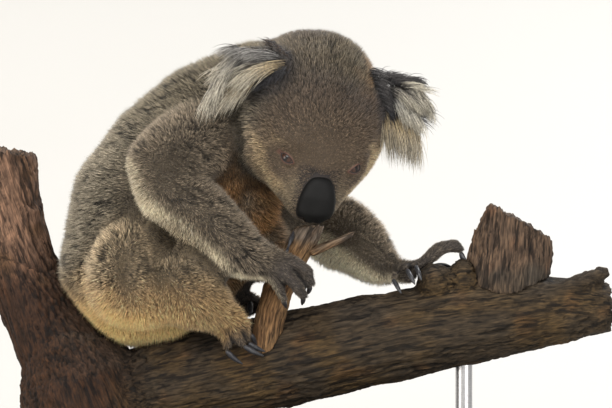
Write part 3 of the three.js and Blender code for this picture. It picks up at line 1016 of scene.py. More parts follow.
@dataclass
class Skin:
    """One skin over head, trunk and limbs, with folds, lids and ears, inside the coat."""

    markings: Markings
    voxel: float = 2.2 * MM
    grow: float = 0.5 * MM
    keep: float = 0.55
    reaches: tuple[float, ...] = (24.0, 14.0, 11.0)
    obj: Piece | None = None

    def build(self) -> Piece:
        """Makes the skin.

        Returns:
            The finished skin, painted and dressed.
        """
        parts = [copy_node(node, f"raw_{node}", self.grow) for node in FLESH_NODES]
        parts += [copy_node(f"eye_{side.word}", f"raw_eye_{side.word}", self.grow) for side in Side]
        parts.append(copy_node("nose_pad", "raw_nose", self.grow))
        parts += [self.pinna(side) for side in Side]
        self.obj = join(parts, "skin")
        apply_modifier(self.obj, "REMESH", mode="VOXEL", voxel_size=self.voxel)
        self.settle()
        log.info("skin remeshed with %d faces", len(self.obj.data.polygons))
        self.lighten()
        log.info("skin thinned to %d faces", len(self.obj.data.polygons))
        self.refine_face()
        self.sculpt_face()
        self.dress()
        return self.obj

    def pinna(self, side: Side) -> Piece:
        """Makes the cupped flap of one ear from a sphere.

        Args:
            side: which ear.

        Returns:
            The flap, standing at the head's side.
        """
        middle, turn, size = PINNAE[side]
        deselect()
        bpy.ops.mesh.primitive_uv_sphere_add(segments=32, ring_count=20, radius=1.0)
        flap = bpy.context.active_object
        flap.name = f"raw_pinna_{side.word}"
        rows = read_points(flap.data)
        cup = rows[:, 1] ** 2 + rows[:, 2] ** 2
        rows = rows * np.array(size)
        rows[:, 0] += cup * 8.0 - 6.0
        rows = (rows @ ear_axes(turn) + np.array(middle)) * MM
        write_points(flap.data, rows)
        return flap

    def settle(self) -> None:
        """Rounds the remeshed body off and draws it in by the coat's depth."""
        mesh = self.obj.data
        rows, edges = read_points(mesh), read_edges(mesh)
        anatomy = Anatomy.of(rows)
        fine = anatomy.part(Region.HAND, Region.FOOT)
        head = anatomy.part(Region.HEAD)
        face = head * smoothstep(20, 50, HEAD.inside(rows)[:, 0])
        ear = self.near_pinna(rows)
        calm = np.clip(1.0 - fine * 1.3 - face * 0.85 - ear * 0.93, 0.0, 1.0)
        rows = relax(rows, edges, 0.7 * calm, 27)
        rows = relax(rows, edges, 0.5, 5)
        write_points(mesh, rows)
        normals = unit(relax(read_normals(mesh), edges, 0.6, 8))
        depth = anatomy.blend("depth")
        depth = depth * (1 - face * 0.45)
        depth = depth * (1 - ear) + 0.6 * ear
        depth = relax(depth[:, None], edges, 0.6, 12)
        depth += 3.0 * creases(rows)[:, None]
        write_points(mesh, rows - normals * depth * MM)

    @staticmethod
    def near_pinna(rows: Rows) -> Rows:
        """How much a point belongs to an ear's flap, from 0 to 1."""
        near = np.zeros(len(rows))
        for middle, _turn, _size in PINNAE.values():
            gap = np.linalg.norm(rows / MM - np.array(middle), axis=1)
            near = np.maximum(near, smoothstep(32, 22, gap))
        return near

    def lighten(self) -> None:
        """Thins the mesh out where the coat hides it, and keeps paws and face fine."""
        mesh = self.obj.data
        rows = read_points(mesh)
        anatomy = Anatomy.of(rows)
        fine = anatomy.part(Region.HAND, Region.FOOT)
        face = anatomy.part(Region.HEAD) * smoothstep(10, 40, HEAD.inside(rows)[:, 0])
        group = self.obj.vertex_groups.new(name="hidden")
        hidden = np.clip(1.0 - fine * 1.6 - face, 0.0, 1.0)
        for level in (0.0, 0.5, 1.0):
            chosen = np.flatnonzero(np.abs(hidden - level) <= 0.25)
            group.add(chosen.tolist(), level, "REPLACE")
        apply_modifier(
            self.obj, "DECIMATE", decimate_type="COLLAPSE", ratio=self.keep,
            vertex_group="hidden", vertex_group_factor=1.0,
        )
        self.obj.vertex_groups.clear()

    def refine_face(self) -> None:
        """Splits the faces around the nose and the mouth, and those of the lids further."""
        for reach in self.reaches:
            mesh = self.obj.data
            local = folded(HEAD.inside(read_rows(mesh.polygons, "center", 3)))
            near = np.linalg.norm(local - np.array(LIDS[0].eye_at), axis=1) < reach
            if reach == self.reaches[0]:
                near |= (local[:, 0] > 58) & (local[:, 1] < 28)
            make_active(self.obj)
            bpy.context.tool_settings.mesh_select_mode = (False, False, True)
            bpy.ops.object.mode_set(mode="EDIT")
            bpy.ops.mesh.select_all(action="DESELECT")
            bpy.ops.object.mode_set(mode="OBJECT")
            mesh.polygons.foreach_set("select", near)
            bpy.ops.object.mode_set(mode="EDIT")
            bpy.ops.mesh.subdivide(number_cuts=1, smoothness=0.0)
            bpy.ops.object.mode_set(mode="OBJECT")

    def sculpt_face(self) -> None:
        """Shapes the folds and the lids, in the head's own axes."""
        mesh = self.obj.data
        rows, edges = read_points(mesh), read_edges(mesh)
        front = smoothstep(15, 35, HEAD.inside(rows)[:, 0])
        rows = relax(rows, edges, 0.5 * front, 8)
        write_points(mesh, rows)
        local = HEAD.inside(rows)
        normals = read_normals(mesh) @ HEAD.axes().T
        push = np.zeros(len(local))
        half = folded(local)
        for middle, size, height in FACE_FOLDS:
            gap = (half - np.array(middle)) / np.array(size)
            push += height * np.exp(-(gap**2).sum(axis=1))
        side_on = smoothstep(0.1, 0.6, read_normals(mesh)[:, 0])
        slim = np.exp(-((((rows / MM) - np.array(SLIM_AT)) / np.array(SLIM_SIZE)) ** 2).sum(axis=1))
        eye_gap = np.linalg.norm(local - LIDS[1].centre(), axis=1)
        push = push * front - SLIM_DEEP * slim * side_on * smoothstep(15, 26, eye_gap)
        local = local + normals * push[:, None]
        for lids in LIDS:
            local = lids.fold(local)
        write_points(mesh, HEAD.outside(local))

    def dress(self) -> None:
        """Paints the markings, with painted shade between the digits, and puts the finish on."""
        mesh = self.obj.data
        rows, normals = read_points(mesh), read_normals(mesh)
        anatomy = Anatomy.of(rows)
        colours = self.markings.colour(rows, normals, anatomy) * 0.5
        paws = anatomy.part(Region.HAND, Region.FOOT)
        colours = mix(colours, PALETTE.bare, paws * 0.8)
        # Painted shade in the slits between the digits.
        colours = colours * (1.0 - 0.9 * creases(rows))[:, None]
        colours = mix(colours, PALETTE.pinna, self.near_pinna(rows) * 0.6)
        local = HEAD.inside(rows)
        for lids in LIDS:
            edge = lids.edge(local)
            colours = mix(colours, PALETTE.lid, lids.near(local) * smoothstep(2.2, 1.0, edge))
            colours = mix(colours, PALETTE.bare, lids.near(local) * smoothstep(0.9, 0.4, edge))
        ahead, side, up = local.T
        pad = smoothstep(56, 62, ahead) * smoothstep(23, 19, np.abs(side)) * smoothstep(12, 8, up)
        colours = mix(colours, PALETTE.bare, pad * smoothstep(-50, -44, up))
        paint(self.obj, "coat", colours)
        self.obj.data.materials.clear()
        self.obj.data.materials.append(SkinFinish().make())
        shade_smooth(self.obj)
        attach(self.obj, "root")
        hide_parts(*FLESH_NODES, *EAR_NODES)


# No hair grows deeper than this share of the slit between two digits.
SLIT = 0.72

# The middle lines of the digits that lie side by side, in millimetres, by paw.
DIGITS: tuple[tuple[tuple[Vec, ...], ...], ...] = (
    (
        ((-18, -84, 226), (-4, -89, 218), (4, -87, 207), (4, -79, 197)),
        ((-22, -86, 213), (-12, -92, 203), (-4, -90, 193), (-2, -82, 188)),
        ((-36, -84, 212), (-30, -88, 198), (-23, -86, 189), (-21, -80, 185)),
    ),
    (
        ((96, -10, 212), (101, -25, 219), (104, -35, 216)),
        ((90, -10, 212), (92, -28, 217), (96, -40, 212)),
        ((82, -8, 208), (80, -28, 208), (83, -40, 202)),
    ),
    (
        ((-62, -58, 158), (-56, -60, 150), (-53, -58, 143)),
        ((-68, -60, 158), (-61, -67, 149), (-57, -64, 140)),
        ((-76, -58, 160), (-76, -64, 146), (-74, -60, 135)),
    ),
)


def creases(rows: Rows) -> Rows:
    """How deep between two neighbouring digits each point lies.

    Args:
        rows: positions.

    Returns:
        Depths from 0 to 1.
    """
    deep = np.zeros(len(rows))
    for paw in DIGITS:
        ends = np.array([joint for line in paw for joint in line], dtype=float)
        close = ((rows / MM > ends.min(axis=0) - 12) & (rows / MM < ends.max(axis=0) + 12)).all(axis=1)
        near = np.flatnonzero(close)
        gaps, places = [], []
        for line in paw:
            gap, _tangent, along, _arm = Anatomy.measure(rows[near], np.array(line, dtype=float) * MM)
            gaps.append(gap / MM)
            places.append(along)
        order = np.argsort(np.stack(gaps), axis=0)
        first, second = (np.take_along_axis(np.stack(gaps), order[k:k + 1], axis=0)[0] for k in (0, 1))
        along = np.take_along_axis(np.stack(places), order[:1], axis=0)[0]
        between = np.exp(-(((second - first) / 3.2) ** 2))
        deep[near] = np.maximum(deep[near], between * smoothstep(0.12, 0.35, along))
    return deep


def hollows(mesh: bpy.types.Mesh) -> Rows:
    """How deep in a fold of the body each point of the skin lies, in millimetres."""
    rows = read_points(mesh)
    smooth = relax(rows, read_edges(mesh), 0.7, 60)
    return ((smooth - rows) * read_normals(mesh)).sum(axis=1) / MM


def ear_axes(turn: Vec) -> Rows:
    """Rows for an ear's flap: out of its hollow, across it and up it."""
    out = unit(np.array(turn, dtype=float))
    wide = unit(np.array([1.0, 0.0, 0.0]) - out * out[0])
    return np.stack([out, wide, np.cross(out, wide)])


# -- The coat


@dataclass
class Roots:
    """Where tufts grow, with what the skin and the bones say there."""

    at: Rows
    normal: Rows
    anatomy: Anatomy
    colour: Rows
    hollow: Rows

    def pick(self, rows: Rows) -> "Roots":
        """The roots in the given rows."""
        names = ("share", "flow", "along", "bone", "away")
        anatomy = Anatomy(*(getattr(self.anatomy, name)[rows] for name in names))
        return Roots(self.at[rows], self.normal[rows], anatomy, self.colour[rows], self.hollow[rows])


@dataclass
class Tufts:
    """Tufts as arrays: a centre line, a width and a colour at each knot of each tuft."""

    lines: Rows
    widths: Rows
    colours: Rows
    normals: Rows
    homes: Rows
    flat: float = 0.7

    def part(self, rows: slice) -> "Tufts":
        """The tufts in the given rows."""
        return Tufts(self.lines[rows], self.widths[rows], self.colours[rows], self.normals[rows],
                     self.homes[rows], self.flat)

    def mesh(self, name: str) -> Piece:
        """Makes one closed three-sided spike round each line.

        Args:
            name: the piece's name.

        Returns:
            The joined spikes, with their colours and their unwrap.
        """
        count, knots = self.lines.shape[:2]
        ways = unit(np.gradient(self.lines, axis=1))
        side = unit(np.cross(ways, self.normals[:, None]))
        up = np.cross(side, ways)
        rings = []
        for turn in (90.0, 210.0, 330.0):
            angle = math.radians(turn)
            ring = side * math.cos(angle) + up * math.sin(angle) * self.flat
            rings.append(self.lines[:, :-1] + ring[:, :-1] * self.widths[:, :, None])
        body = np.stack(rings, axis=2).reshape(count, (knots - 1) * 3, 3)
        points = np.concatenate([body, self.lines[:, -1:]], axis=1)
        faces = self.faces(knots)
        per = points.shape[1]
        every = (np.arange(count) * per)[:, None, None] + faces[None]
        obj = new_mesh(name, points.reshape(-1, 3), every.reshape(-1, 3))
        tone = np.repeat(self.colours[:, :-1], 3, axis=1)
        tone = np.concatenate([tone, self.colours[:, -1:]], axis=1)
        paint(obj, "coat", tone.reshape(-1, 3))
        self.unwrap(obj, knots)
        return obj

    @staticmethod
    def faces(knots: int) -> Rows:
        """The triangles of one spike, facing outward."""
        faces = [(0, 2, 1)]
        for ring in range(knots - 2):
            low, high = ring * 3, ring * 3 + 3
            for first, second in ((0, 1), (1, 2), (2, 0)):
                faces.append((low + first, low + second, high + second))
                faces.append((low + first, high + second, high + first))
        last, tip = (knots - 2) * 3, (knots - 1) * 3
        faces += [(last, last + 1, tip), (last + 1, last + 2, tip), (last + 2, last, tip)]
        return np.array(faces)

    def unwrap(self, obj: Piece, knots: int) -> None:
        """Gives each tuft its own small patch at its root's place on the body's unwrap.

        Args:
            obj: the piece.
            knots: how many knots its line has.
        """
        patch = 0.0015
        across = np.tile(np.array([0.0, 1.0, -1.0]), knots - 1)
        along = np.repeat(np.linspace(-1.0, 1.0, knots)[:-1], 3)
        local = np.stack([np.append(across, 0.0), np.append(along, 1.0)], axis=1) * patch
        uv = (self.homes[:, None] + local[None]).reshape(-1, 2)
        loops = np.empty(len(obj.data.loops), dtype=np.int32)
        obj.data.loops.foreach_get("vertex_index", loops)
        layer = obj.data.uv_layers.new(name="OFBake")
        layer.uv.foreach_set("vector", uv[loops].astype(np.float32).ravel())


class Atlas:
    """An unwrap of the body: each bone's stretch of skin is rolled out into a box of its own."""

    columns: int = 4
    margin: float = 0.04
    filled: float = 0.92

    def home(self, roots: Roots) -> Rows:
        """The place of each root on the unwrap."""
        rows = math.ceil(len(BONES) / self.columns)
        anatomy = roots.anatomy
        box = np.stack([anatomy.bone % self.columns, anatomy.bone // self.columns], axis=1)
        around = np.zeros(len(roots.at))
        for index, bone in enumerate(BONES):
            chosen = anatomy.bone == index
            line = np.array(bone.line, dtype=float)
            axis = unit(line[-1] - line[0])
            first = unit(np.cross(axis, np.array([0.31, 0.22, 0.93])))
            second = np.cross(axis, first)
            arm = anatomy.away[chosen]
            around[chosen] = np.arctan2(arm @ second, arm @ first) / (2 * math.pi) + 0.5
        inner = np.stack([around, anatomy.along], axis=1)
        spot = box + self.margin + self.filled * np.clip(inner, 0, 1)
        return spot / np.array([self.columns, rows])


@dataclass
class Fur:
    """The short coat over all of the skin."""

    skin: Piece
    markings: Markings
    noise: Noise
    rng: np.random.Generator
    perch: "Perch"
    knots: int = 2
    tris_per_piece: int = 190_000
    scatter: float = 0.45 * MM
    headroom: float = 2.5 * MM
    uneven: float = 0.16
    sunk: float = 0.4 * MM
    dark: float = 0.30
    light: float = 1.45

    def build(self) -> list[Piece]:
        """Grows the coat.

        Returns:
            The coat's pieces, dressed.
        """
        roots = self.roots()
        finish = HairFinish().make()
        pieces = []
        main = roots.anatomy.share.argmax(axis=1)
        for name, short in (("coat", False), ("paw_coat", True)):
            regions = [region.value for region in Region if COATS[region].short == short]
            chosen = roots.pick(np.flatnonzero(np.isin(main, regions)))
            tufts = self.comb(chosen)
            step = self.tris_per_piece // len(Tufts.faces(self.knots))
            for index, start in enumerate(range(0, len(tufts.lines), step)):
                piece = tufts.part(slice(start, start + step)).mesh(f"{name}_{index + 1}")
                piece.data.materials.append(finish)
                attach(piece, "root")
                pieces.append(piece)
        return pieces

    def roots(self) -> Roots:
        """Scatters the roots evenly over the skin, closer together where the hair is short."""
        mesh = self.skin.data
        corners = read_points(mesh)
        triangles = read_triangles(mesh)
        normals = read_normals(mesh)
        a, b, c = (corners[triangles[:, k]] for k in range(3))
        area = 0.5 * np.linalg.norm(np.cross(b - a, c - a), axis=1)
        wanted = int(area.sum() / self.scatter**2)
        pick = self.rng.choice(len(area), wanted, p=area / area.sum())
        u, v = self.rng.random(wanted), self.rng.random(wanted)
        flip = u + v > 1
        u[flip], v[flip] = 1 - u[flip], 1 - v[flip]
        rows = triangles[pick]
        spread = np.stack([1 - u - v, u, v], axis=1)[..., None]
        at = (corners[rows] * spread).sum(axis=1)
        normal = unit((normals[rows] * spread).sum(axis=1))
        hollow = (hollows(mesh)[rows] * spread[..., 0]).sum(axis=1)
        keep = self.thin(at)
        at, normal, hollow = at[keep], normal[keep], hollow[keep]
        buried = self.perch.holds(at + normal * self.headroom)
        free = self.grows(at) & ~buried & (creases(at) < SLIT)
        at, normal, hollow = at[free], normal[free], hollow[free]
        anatomy = Anatomy.of(at)
        return Roots(at, normal, anatomy, self.markings.colour(at, normal, anatomy), hollow)

    def thin(self, at: Rows) -> Rows:
        """Keeps one candidate in each small cell, with cells as large as the coat's spacing."""
        wanted = self.spacing(at)
        kept = []
        for low, high in itertools.pairwise((0.0, 0.92, 1.0, 1.04, 1.08, 9.0)):
            rows = np.flatnonzero((wanted >= low) & (wanted < high))
            if len(rows):
                size = wanted[rows].mean() * MM
                kept.append(rows[first_in_cells(at[rows], size)])
        return np.sort(np.concatenate(kept))

    def spacing(self, at: Rows) -> Rows:
        """The wanted distance between roots, from a coarse reading of the bones."""
        cells = cell_keys(at, 6 * MM)
        _values, first, back = np.unique(cells, return_index=True, return_inverse=True)
        return Anatomy.of(at[first]).blend("spacing")[back]

    @staticmethod
    def grows(at: Rows) -> Rows:
        """Whether hair grows at each place: not in the slit of an eye nor under the nose pad."""
        local = HEAD.inside(at)
        free = np.ones(len(at), dtype=bool)
        for lids in LIDS:
            free &= ~((lids.near(local) > 0.4) & (lids.edge(local) < 1.5))
        ahead, side, up = local.T
        half = np.interp(up, (-40, -34, -28, -16, -4, 5), (10, 15, 17.5, 17.5, 14, 7))
        middle = np.interp(up, (-34, 3), (3.0, 0.5))
        pad = (ahead > 58) & (np.abs(side - middle) < half) & (up < 6) & (up > -40)
        return free & ~pad

    def comb(self, roots: Roots) -> Tufts:
        """Lays each tuft along the body.

        Args:
            roots: where the tufts grow.

        Returns:
            The tufts.
        """
        count = len(roots.at)
        normal, anatomy = roots.normal, roots.anatomy
        flow = self.flow(roots)
        # Folds of the body and slits between digits: shorter hair, and painted shade in the tufts'
        # colour.
        crease = np.maximum(creases(roots.at), 0.75 * smoothstep(0.5, 2.6, roots.hollow))
        soft = self.short_hair(roots) * (1.0 - 0.5 * crease)
        length = anatomy.blend("length") * soft * MM
        length = length * (1.0 + self.uneven * self.rng.normal(size=count)).clip(0.6, 1.4)
        width = anatomy.blend("width") * 0.5 * MM * (0.75 + 0.25 * soft)
        rise = np.radians(anatomy.blend("rise")) + self.rng.normal(size=count) * 0.10
        lie = np.radians(anatomy.blend("lie")) + self.rng.normal(size=count) * 0.08
        start = flow * np.cos(rise)[:, None] + normal * np.sin(rise)[:, None]
        end = flow * np.cos(lie)[:, None] + normal * np.sin(lie)[:, None]
        pull = self.gather(roots)
        tips = roots.at + (start + end) * 0.5 * length[:, None]
        pale = smoothstep(0.30, 0.60, roots.colour[:, 1])
        grain = self.grizzle_and_fold_shade(tips, pale, crease)
        warm = smoothstep(1.45, 1.75, roots.colour[:, 0] / roots.colour[:, 1])
        parting = self.partings(tips, anatomy) * soft * (1.0 - np.maximum(0.9 * pale, warm))
        swell = 1.0 + 0.10 * self.noise.at(roots.at, 24 * MM)
        places = np.linspace(0.0, 1.0, self.knots)
        lines = np.empty((count, self.knots, 3))
        shades = np.empty((count, self.knots))
        for knot, share in enumerate(places):
            way = start * (share - 0.5 * share**2) + end * (0.5 * share**2)
            arm = way * (length * swell)[:, None] + pull * (share**2 * 0.25)
            lift = (arm * normal).sum(axis=1)
            lines[:, knot] = roots.at + arm - normal * (lift * parting * 0.25 + self.sunk)[:, None]
            tone = (self.dark + 0.55 * pale) * (1.0 - share) + self.light * share
            # Painted shade: tufts in a parting are darkened as if in the groove's shadow.
            shades[:, knot] = tone * (1.0 - 0.95 * parting)
        taper = np.interp(places[:-1], (0.0, 0.7), (0.80, 0.45))
        widths = width[:, None] * taper[None] * (0.85 + 0.3 * self.rng.random((count, 1)))
        tones = roots.colour[:, None] * (shades * grain[:, None])[:, :, None]
        return Tufts(lines, widths, tones, normal, Atlas().home(roots))

    def grizzle_and_fold_shade(self, tips: Rows, pale: Rows, crease: Rows) -> Rows:
        """How light or dark each tuft is against its neighbours, with painted shade in folds.

        Args:
            tips: where the tufts end.
            pale: how pale the coat is there, from 0 to 1; pale hair is the most even.
            crease: how deep in a fold each tuft is, from 0 to 1; painted shade darkens it there.

        Returns:
            A factor for each tuft's colour.
        """
        uneven = 1.0 - 0.7 * pale
        tick = 1.0 + 0.36 * uneven * self.rng.normal(size=len(tips)).clip(-2, 2)
        cloud = 1.05 * self.noise.at(tips, 1.9 * MM) + 0.22 * self.noise.at(tips, 7 * MM)
        grain = 1.0 + uneven * cloud
        # Painted shade in folds and between digits.
        return tick * (grain.clip(0.14, 2.5) * (1.0 - 0.85 * crease))

    def flow(self, roots: Roots) -> Rows:
        """The way that the hair lies at each root, along the skin."""
        anatomy = roots.anatomy
        head = anatomy.part(Region.HEAD)[:, None]
        nose = HEAD.outside(np.array([[78.0, 0.0, 2.0]]))[0]
        flow = anatomy.flow * (1 - head) + unit(roots.at - nose) * head
        flow = flow + np.array([0.0, 0.0, -1.0]) * anatomy.blend("droop")[:, None]
        swirl = np.stack([self.noise.at(roots.at + shift, 26 * MM) for shift in (0.0, 5.0, 9.0)], axis=1)
        flow = flow + swirl * 0.30 + self.rng.normal(size=(len(roots.at), 3)) * 0.12
        return unit(flow - roots.normal * (flow * roots.normal).sum(axis=1)[:, None])

    @staticmethod
    def short_hair(roots: Roots) -> Rows:
        """How much of its full length the hair has: less on the face, least on the lids."""
        local = HEAD.inside(roots.at)
        face = roots.anatomy.part(Region.HEAD) * smoothstep(25, 55, local[:, 0])
        soft = 1.0 - 0.42 * face
        for lids in LIDS:
            bare = lids.near(local) * smoothstep(9.0, 1.0, lids.edge(local))
            soft = soft * (1.0 - 0.6 * bare)
        return soft

    def gather(self, roots: Roots) -> Rows:
        """The arm from each root to the middle of the small lock that it belongs to."""
        seeds = first_in_cells(roots.at, 5.0 * MM)
        tree = KDTree(len(seeds))
        for index, place in enumerate(roots.at[seeds]):
            tree.insert(place, index)
        tree.balance()
        nearest = np.array([tree.find(place)[1] for place in roots.at])
        return roots.at[seeds][nearest] - roots.at

    def partings(self, spots: Rows, anatomy: Anatomy) -> Rows:
        """How deep in a parting of the coat each spot lies.

        Args:
            spots: rows of positions.
            anatomy: what the bones say there.

        Returns:
            Depths from 0 to 1.
        """
        warp = np.stack([self.noise.at(spots + shift, 15 * MM) for shift in (2.0, 7.0)], axis=1)
        deep = np.zeros(len(spots))
        shown = smoothstep(-0.50, 0.0, self.noise.at(spots + 3.0, 34 * MM))
        fewer = smoothstep(-0.3, 0.3, self.noise.at(spots + 6.0, 18 * MM))
        for region, coat in COATS.items():
            share = anatomy.share[:, region.value]
            rows = np.flatnonzero(share > 0.02)
            if coat.parting is None or not len(rows):
                continue
            along = unit(np.array(coat.parting))
            level = unit(np.cross(along, np.array([0.0, 1.0, 0.0])))
            inward = np.cross(along, level)
            place = np.stack([spots[rows] @ along, spots[rows] @ level, spots[rows] @ inward], axis=1)
            place[:, 1] += warp[rows, 0] * 3.0 * MM
            place[:, 0] += warp[rows, 1] * 3.0 * MM
            wide = self.noise.ridges(place, np.array([30.0, 8.0, 18.0]) * MM)
            fine = self.noise.ridges(place + 4.0, np.array([16.0, 5.0, 10.0]) * MM)
            cut = np.maximum(smoothstep(0.76, 0.88, wide) * shown[rows],
                             0.5 * smoothstep(0.84, 0.94, fine) * fewer[rows])
            deep[rows] += share[rows] * cut
        height = smoothstep(172, 205, spots[:, 2] / MM)
        return deep * height


def cell_keys(at: Rows, size: float) -> Rows:
    """One number for the small cube of space that each point lies in."""
    cells = np.floor(at / size).astype(np.int64) + 4096
    return (cells[:, 0] * 8192 + cells[:, 1]) * 8192 + cells[:, 2]


def first_in_cells(at: Rows, size: float) -> Rows:
    """The row of the first point in each small cube of space."""
    _values, first = np.unique(cell_keys(at, size), return_index=True)
    return first


@dataclass(frozen=True)
class Fan:
    """A spread of long locks that root along a line; lengths in millimetres.

    The locks leave the skin the first way and end the second, each given at both ends of the
    line.
    """

    line: tuple[Vec, Vec]
    spread: float
    leave: tuple[Vec, Vec]
    arrive: tuple[Vec, Vec]
    length: tuple[float, float]
    count: int
    root: Colour
    tip: Colour


SLATE: Colour = (0.045, 0.044, 0.050)
SMOKE: Colour = (0.085, 0.078, 0.076)
ASH: Colour = (0.240, 0.230, 0.215)
SILVER: Colour = (0.380, 0.370, 0.350)
WHITE: Colour = (0.600, 0.555, 0.450)
PEARL: Colour = (0.420, 0.380, 0.300)
CREAM: Colour = (0.480, 0.360, 0.190)
BROWN: Colour = (0.090, 0.062, 0.045)

FANS: dict[Side, tuple[Fan, ...]] = {
    Side.RIGHT: (
        # The upper rim, dark at its root and silver at its tips, sweeping back over the flap.
        Fan(((-23, -94, 409), (-62, -99, 418)), 2.6, ((-0.8, -0.5, 0.5), (-1, -0.3, 0.1)),
            ((-1, -0.2, -0.1), (-0.7, -0.1, -0.8)), (24, 22), 560, SMOKE, SILVER),
        # The brown hollow behind the long hair.
        Fan(((-28, -95, 404), (-64, -97, 404)), 4.0, ((-1, -0.3, 0.1), (-1, -0.3, -0.3)),
            ((-0.9, 0, -0.3), (-0.6, 0, -0.9)), (32, 34), 520, SMOKE, WHITE),
        # Long pale hair from the root of the ear, across the hollow.
        Fan(((-21, -98, 405), (-34, -102, 399)), 2.2, ((-1, -0.6, 0.15), (-1, -0.6, -0.15)),
            ((-0.85, -0.1, -0.6), (-0.6, -0.1, -0.9)), (46, 42), 480, CREAM, WHITE),
        # The outer locks that run down to the tip.
        Fan(((-58, -101, 416), (-76, -104, 390)), 3.0, ((-1, -0.4, -0.3), (-0.6, -0.4, -0.9)),
            ((-0.35, -0.1, -1), (-0.15, -0.1, -1)), (38, 42), 620, ASH, WHITE),
        # The lower edge, cream, that joins the tip.
        Fan(((-38, -98, 397), (-64, -101, 386)), 2.4, ((-1, -0.5, -0.3), (-0.7, -0.5, -0.8)),
            ((-0.8, -0.1, -0.9), (-0.45, -0.1, -1)), (36, 36), 440, CREAM, WHITE),
        # Short slate hair under the root, painted as the shadow under the ear's fold.
        Fan(((-19, -99, 400), (-46, -97, 385)), 3.4, ((-0.5, -1, -0.3), (-0.7, -1, -0.5)),
            ((-0.5, -0.3, -1), (-0.9, -0.2, -0.8)), (9, 9), 460, SLATE, SLATE),
        # The dark crest in front of the ear.
        Fan(((-15, -88, 412), (-34, -80, 425)), 2.4, ((-0.5, -0.6, 0.5), (-0.7, -0.4, 0.5)),
            ((-1, 0, -0.1), (-1, 0.1, -0.2)), (6, 6), 420, SLATE, BROWN),
        # The back of the flap.
        Fan(((-28, -84, 412), (-58, -88, 400)), 9.0, ((-0.6, 0.5, 0.6), (-0.9, 0.5, -0.2)),
            ((-0.8, 0.3, 0.2), (-0.8, 0.3, -0.7)), (14, 16), 520, SLATE, ASH),
    ),
    Side.LEFT: (
        # The dark cap on top.
        Fan(((70, -54, 392), (102, -52, 386)), 3.6, ((0.5, -0.5, 0.8), (0.9, -0.4, 0.6)),
            ((0.9, -0.1, 0.0), (0.5, -0.1, -0.9)), (13, 16), 900, SLATE, SMOKE),
        # The dark hair between the head and the flap.
        Fan(((61, -58, 399), (72, -60, 368)), 3.2, ((0.8, -0.6, 0.2), (0.8, -0.7, -0.2)),
            ((0.9, -0.1, -0.3), (0.5, -0.1, -0.9)), (13, 12), 620, SLATE, SMOKE),
        # The outer curtain, smoky at its root, silver at its tips.
        Fan(((92, -56, 388), (107, -55, 366)), 3.6, ((1, -0.5, 0.2), (1, -0.5, -0.3)),
            ((0.35, -0.1, -1), (0.0, -0.1, -1)), (20, 24), 620, SMOKE, WHITE),
        # The white middle.
        Fan(((80, -60, 382), (98, -60, 372)), 3.0, ((0.8, -0.7, -0.1), (0.9, -0.6, -0.2)),
            ((0.3, -0.1, -1), (0.15, -0.1, -1)), (26, 24), 480, SMOKE, WHITE),
        # The white inner curtain.
        Fan(((82, -59, 374), (100, -59, 358)), 3.4, ((0.5, -0.8, -0.6), (0.6, -0.7, -0.6)),
            ((0.15, -0.1, -1), (0.1, -0.1, -1)), (28, 26), 480, SILVER, WHITE),
        # The dark band at the root, painted shade in the ear's opening.
        Fan(((74, -58, 382), (79, -58, 354)), 3.0, ((0.6, -1, -0.2), (0.5, -1, -0.3)),
            ((0.4, -0.3, -1), (0.2, -0.2, -1)), (9, 9), 420, SLATE, SLATE),
        # The cream hair under the flap.
        Fan(((72, -56, 360), (98, -56, 350)), 3.6, ((0.1, -0.7, -0.9), (0.5, -0.6, -0.8)),
            ((0.05, -0.1, -1), (-0.1, -0.1, -1)), (38, 44), 720, CREAM, PEARL),
        # A few long whiskers.
        Fan(((88, -58, 388), (102, -58, 380)), 2.0, ((1, -0.5, 0.25), (1, -0.5, 0.1)),
            ((1, -0.1, -0.2), (0.8, -0.1, -0.6)), (24, 24), 60, WHITE, WHITE),
        # The back of the flap.
        Fan(((76, -44, 382), (104, -44, 358)), 9.0, ((0.5, 0.6, 0.6), (0.8, 0.5, -0.4)),
            ((0.8, 0.3, 0.2), (0.6, 0.3, -0.8)), (14, 17), 520, SLATE, ASH),
    ),
}


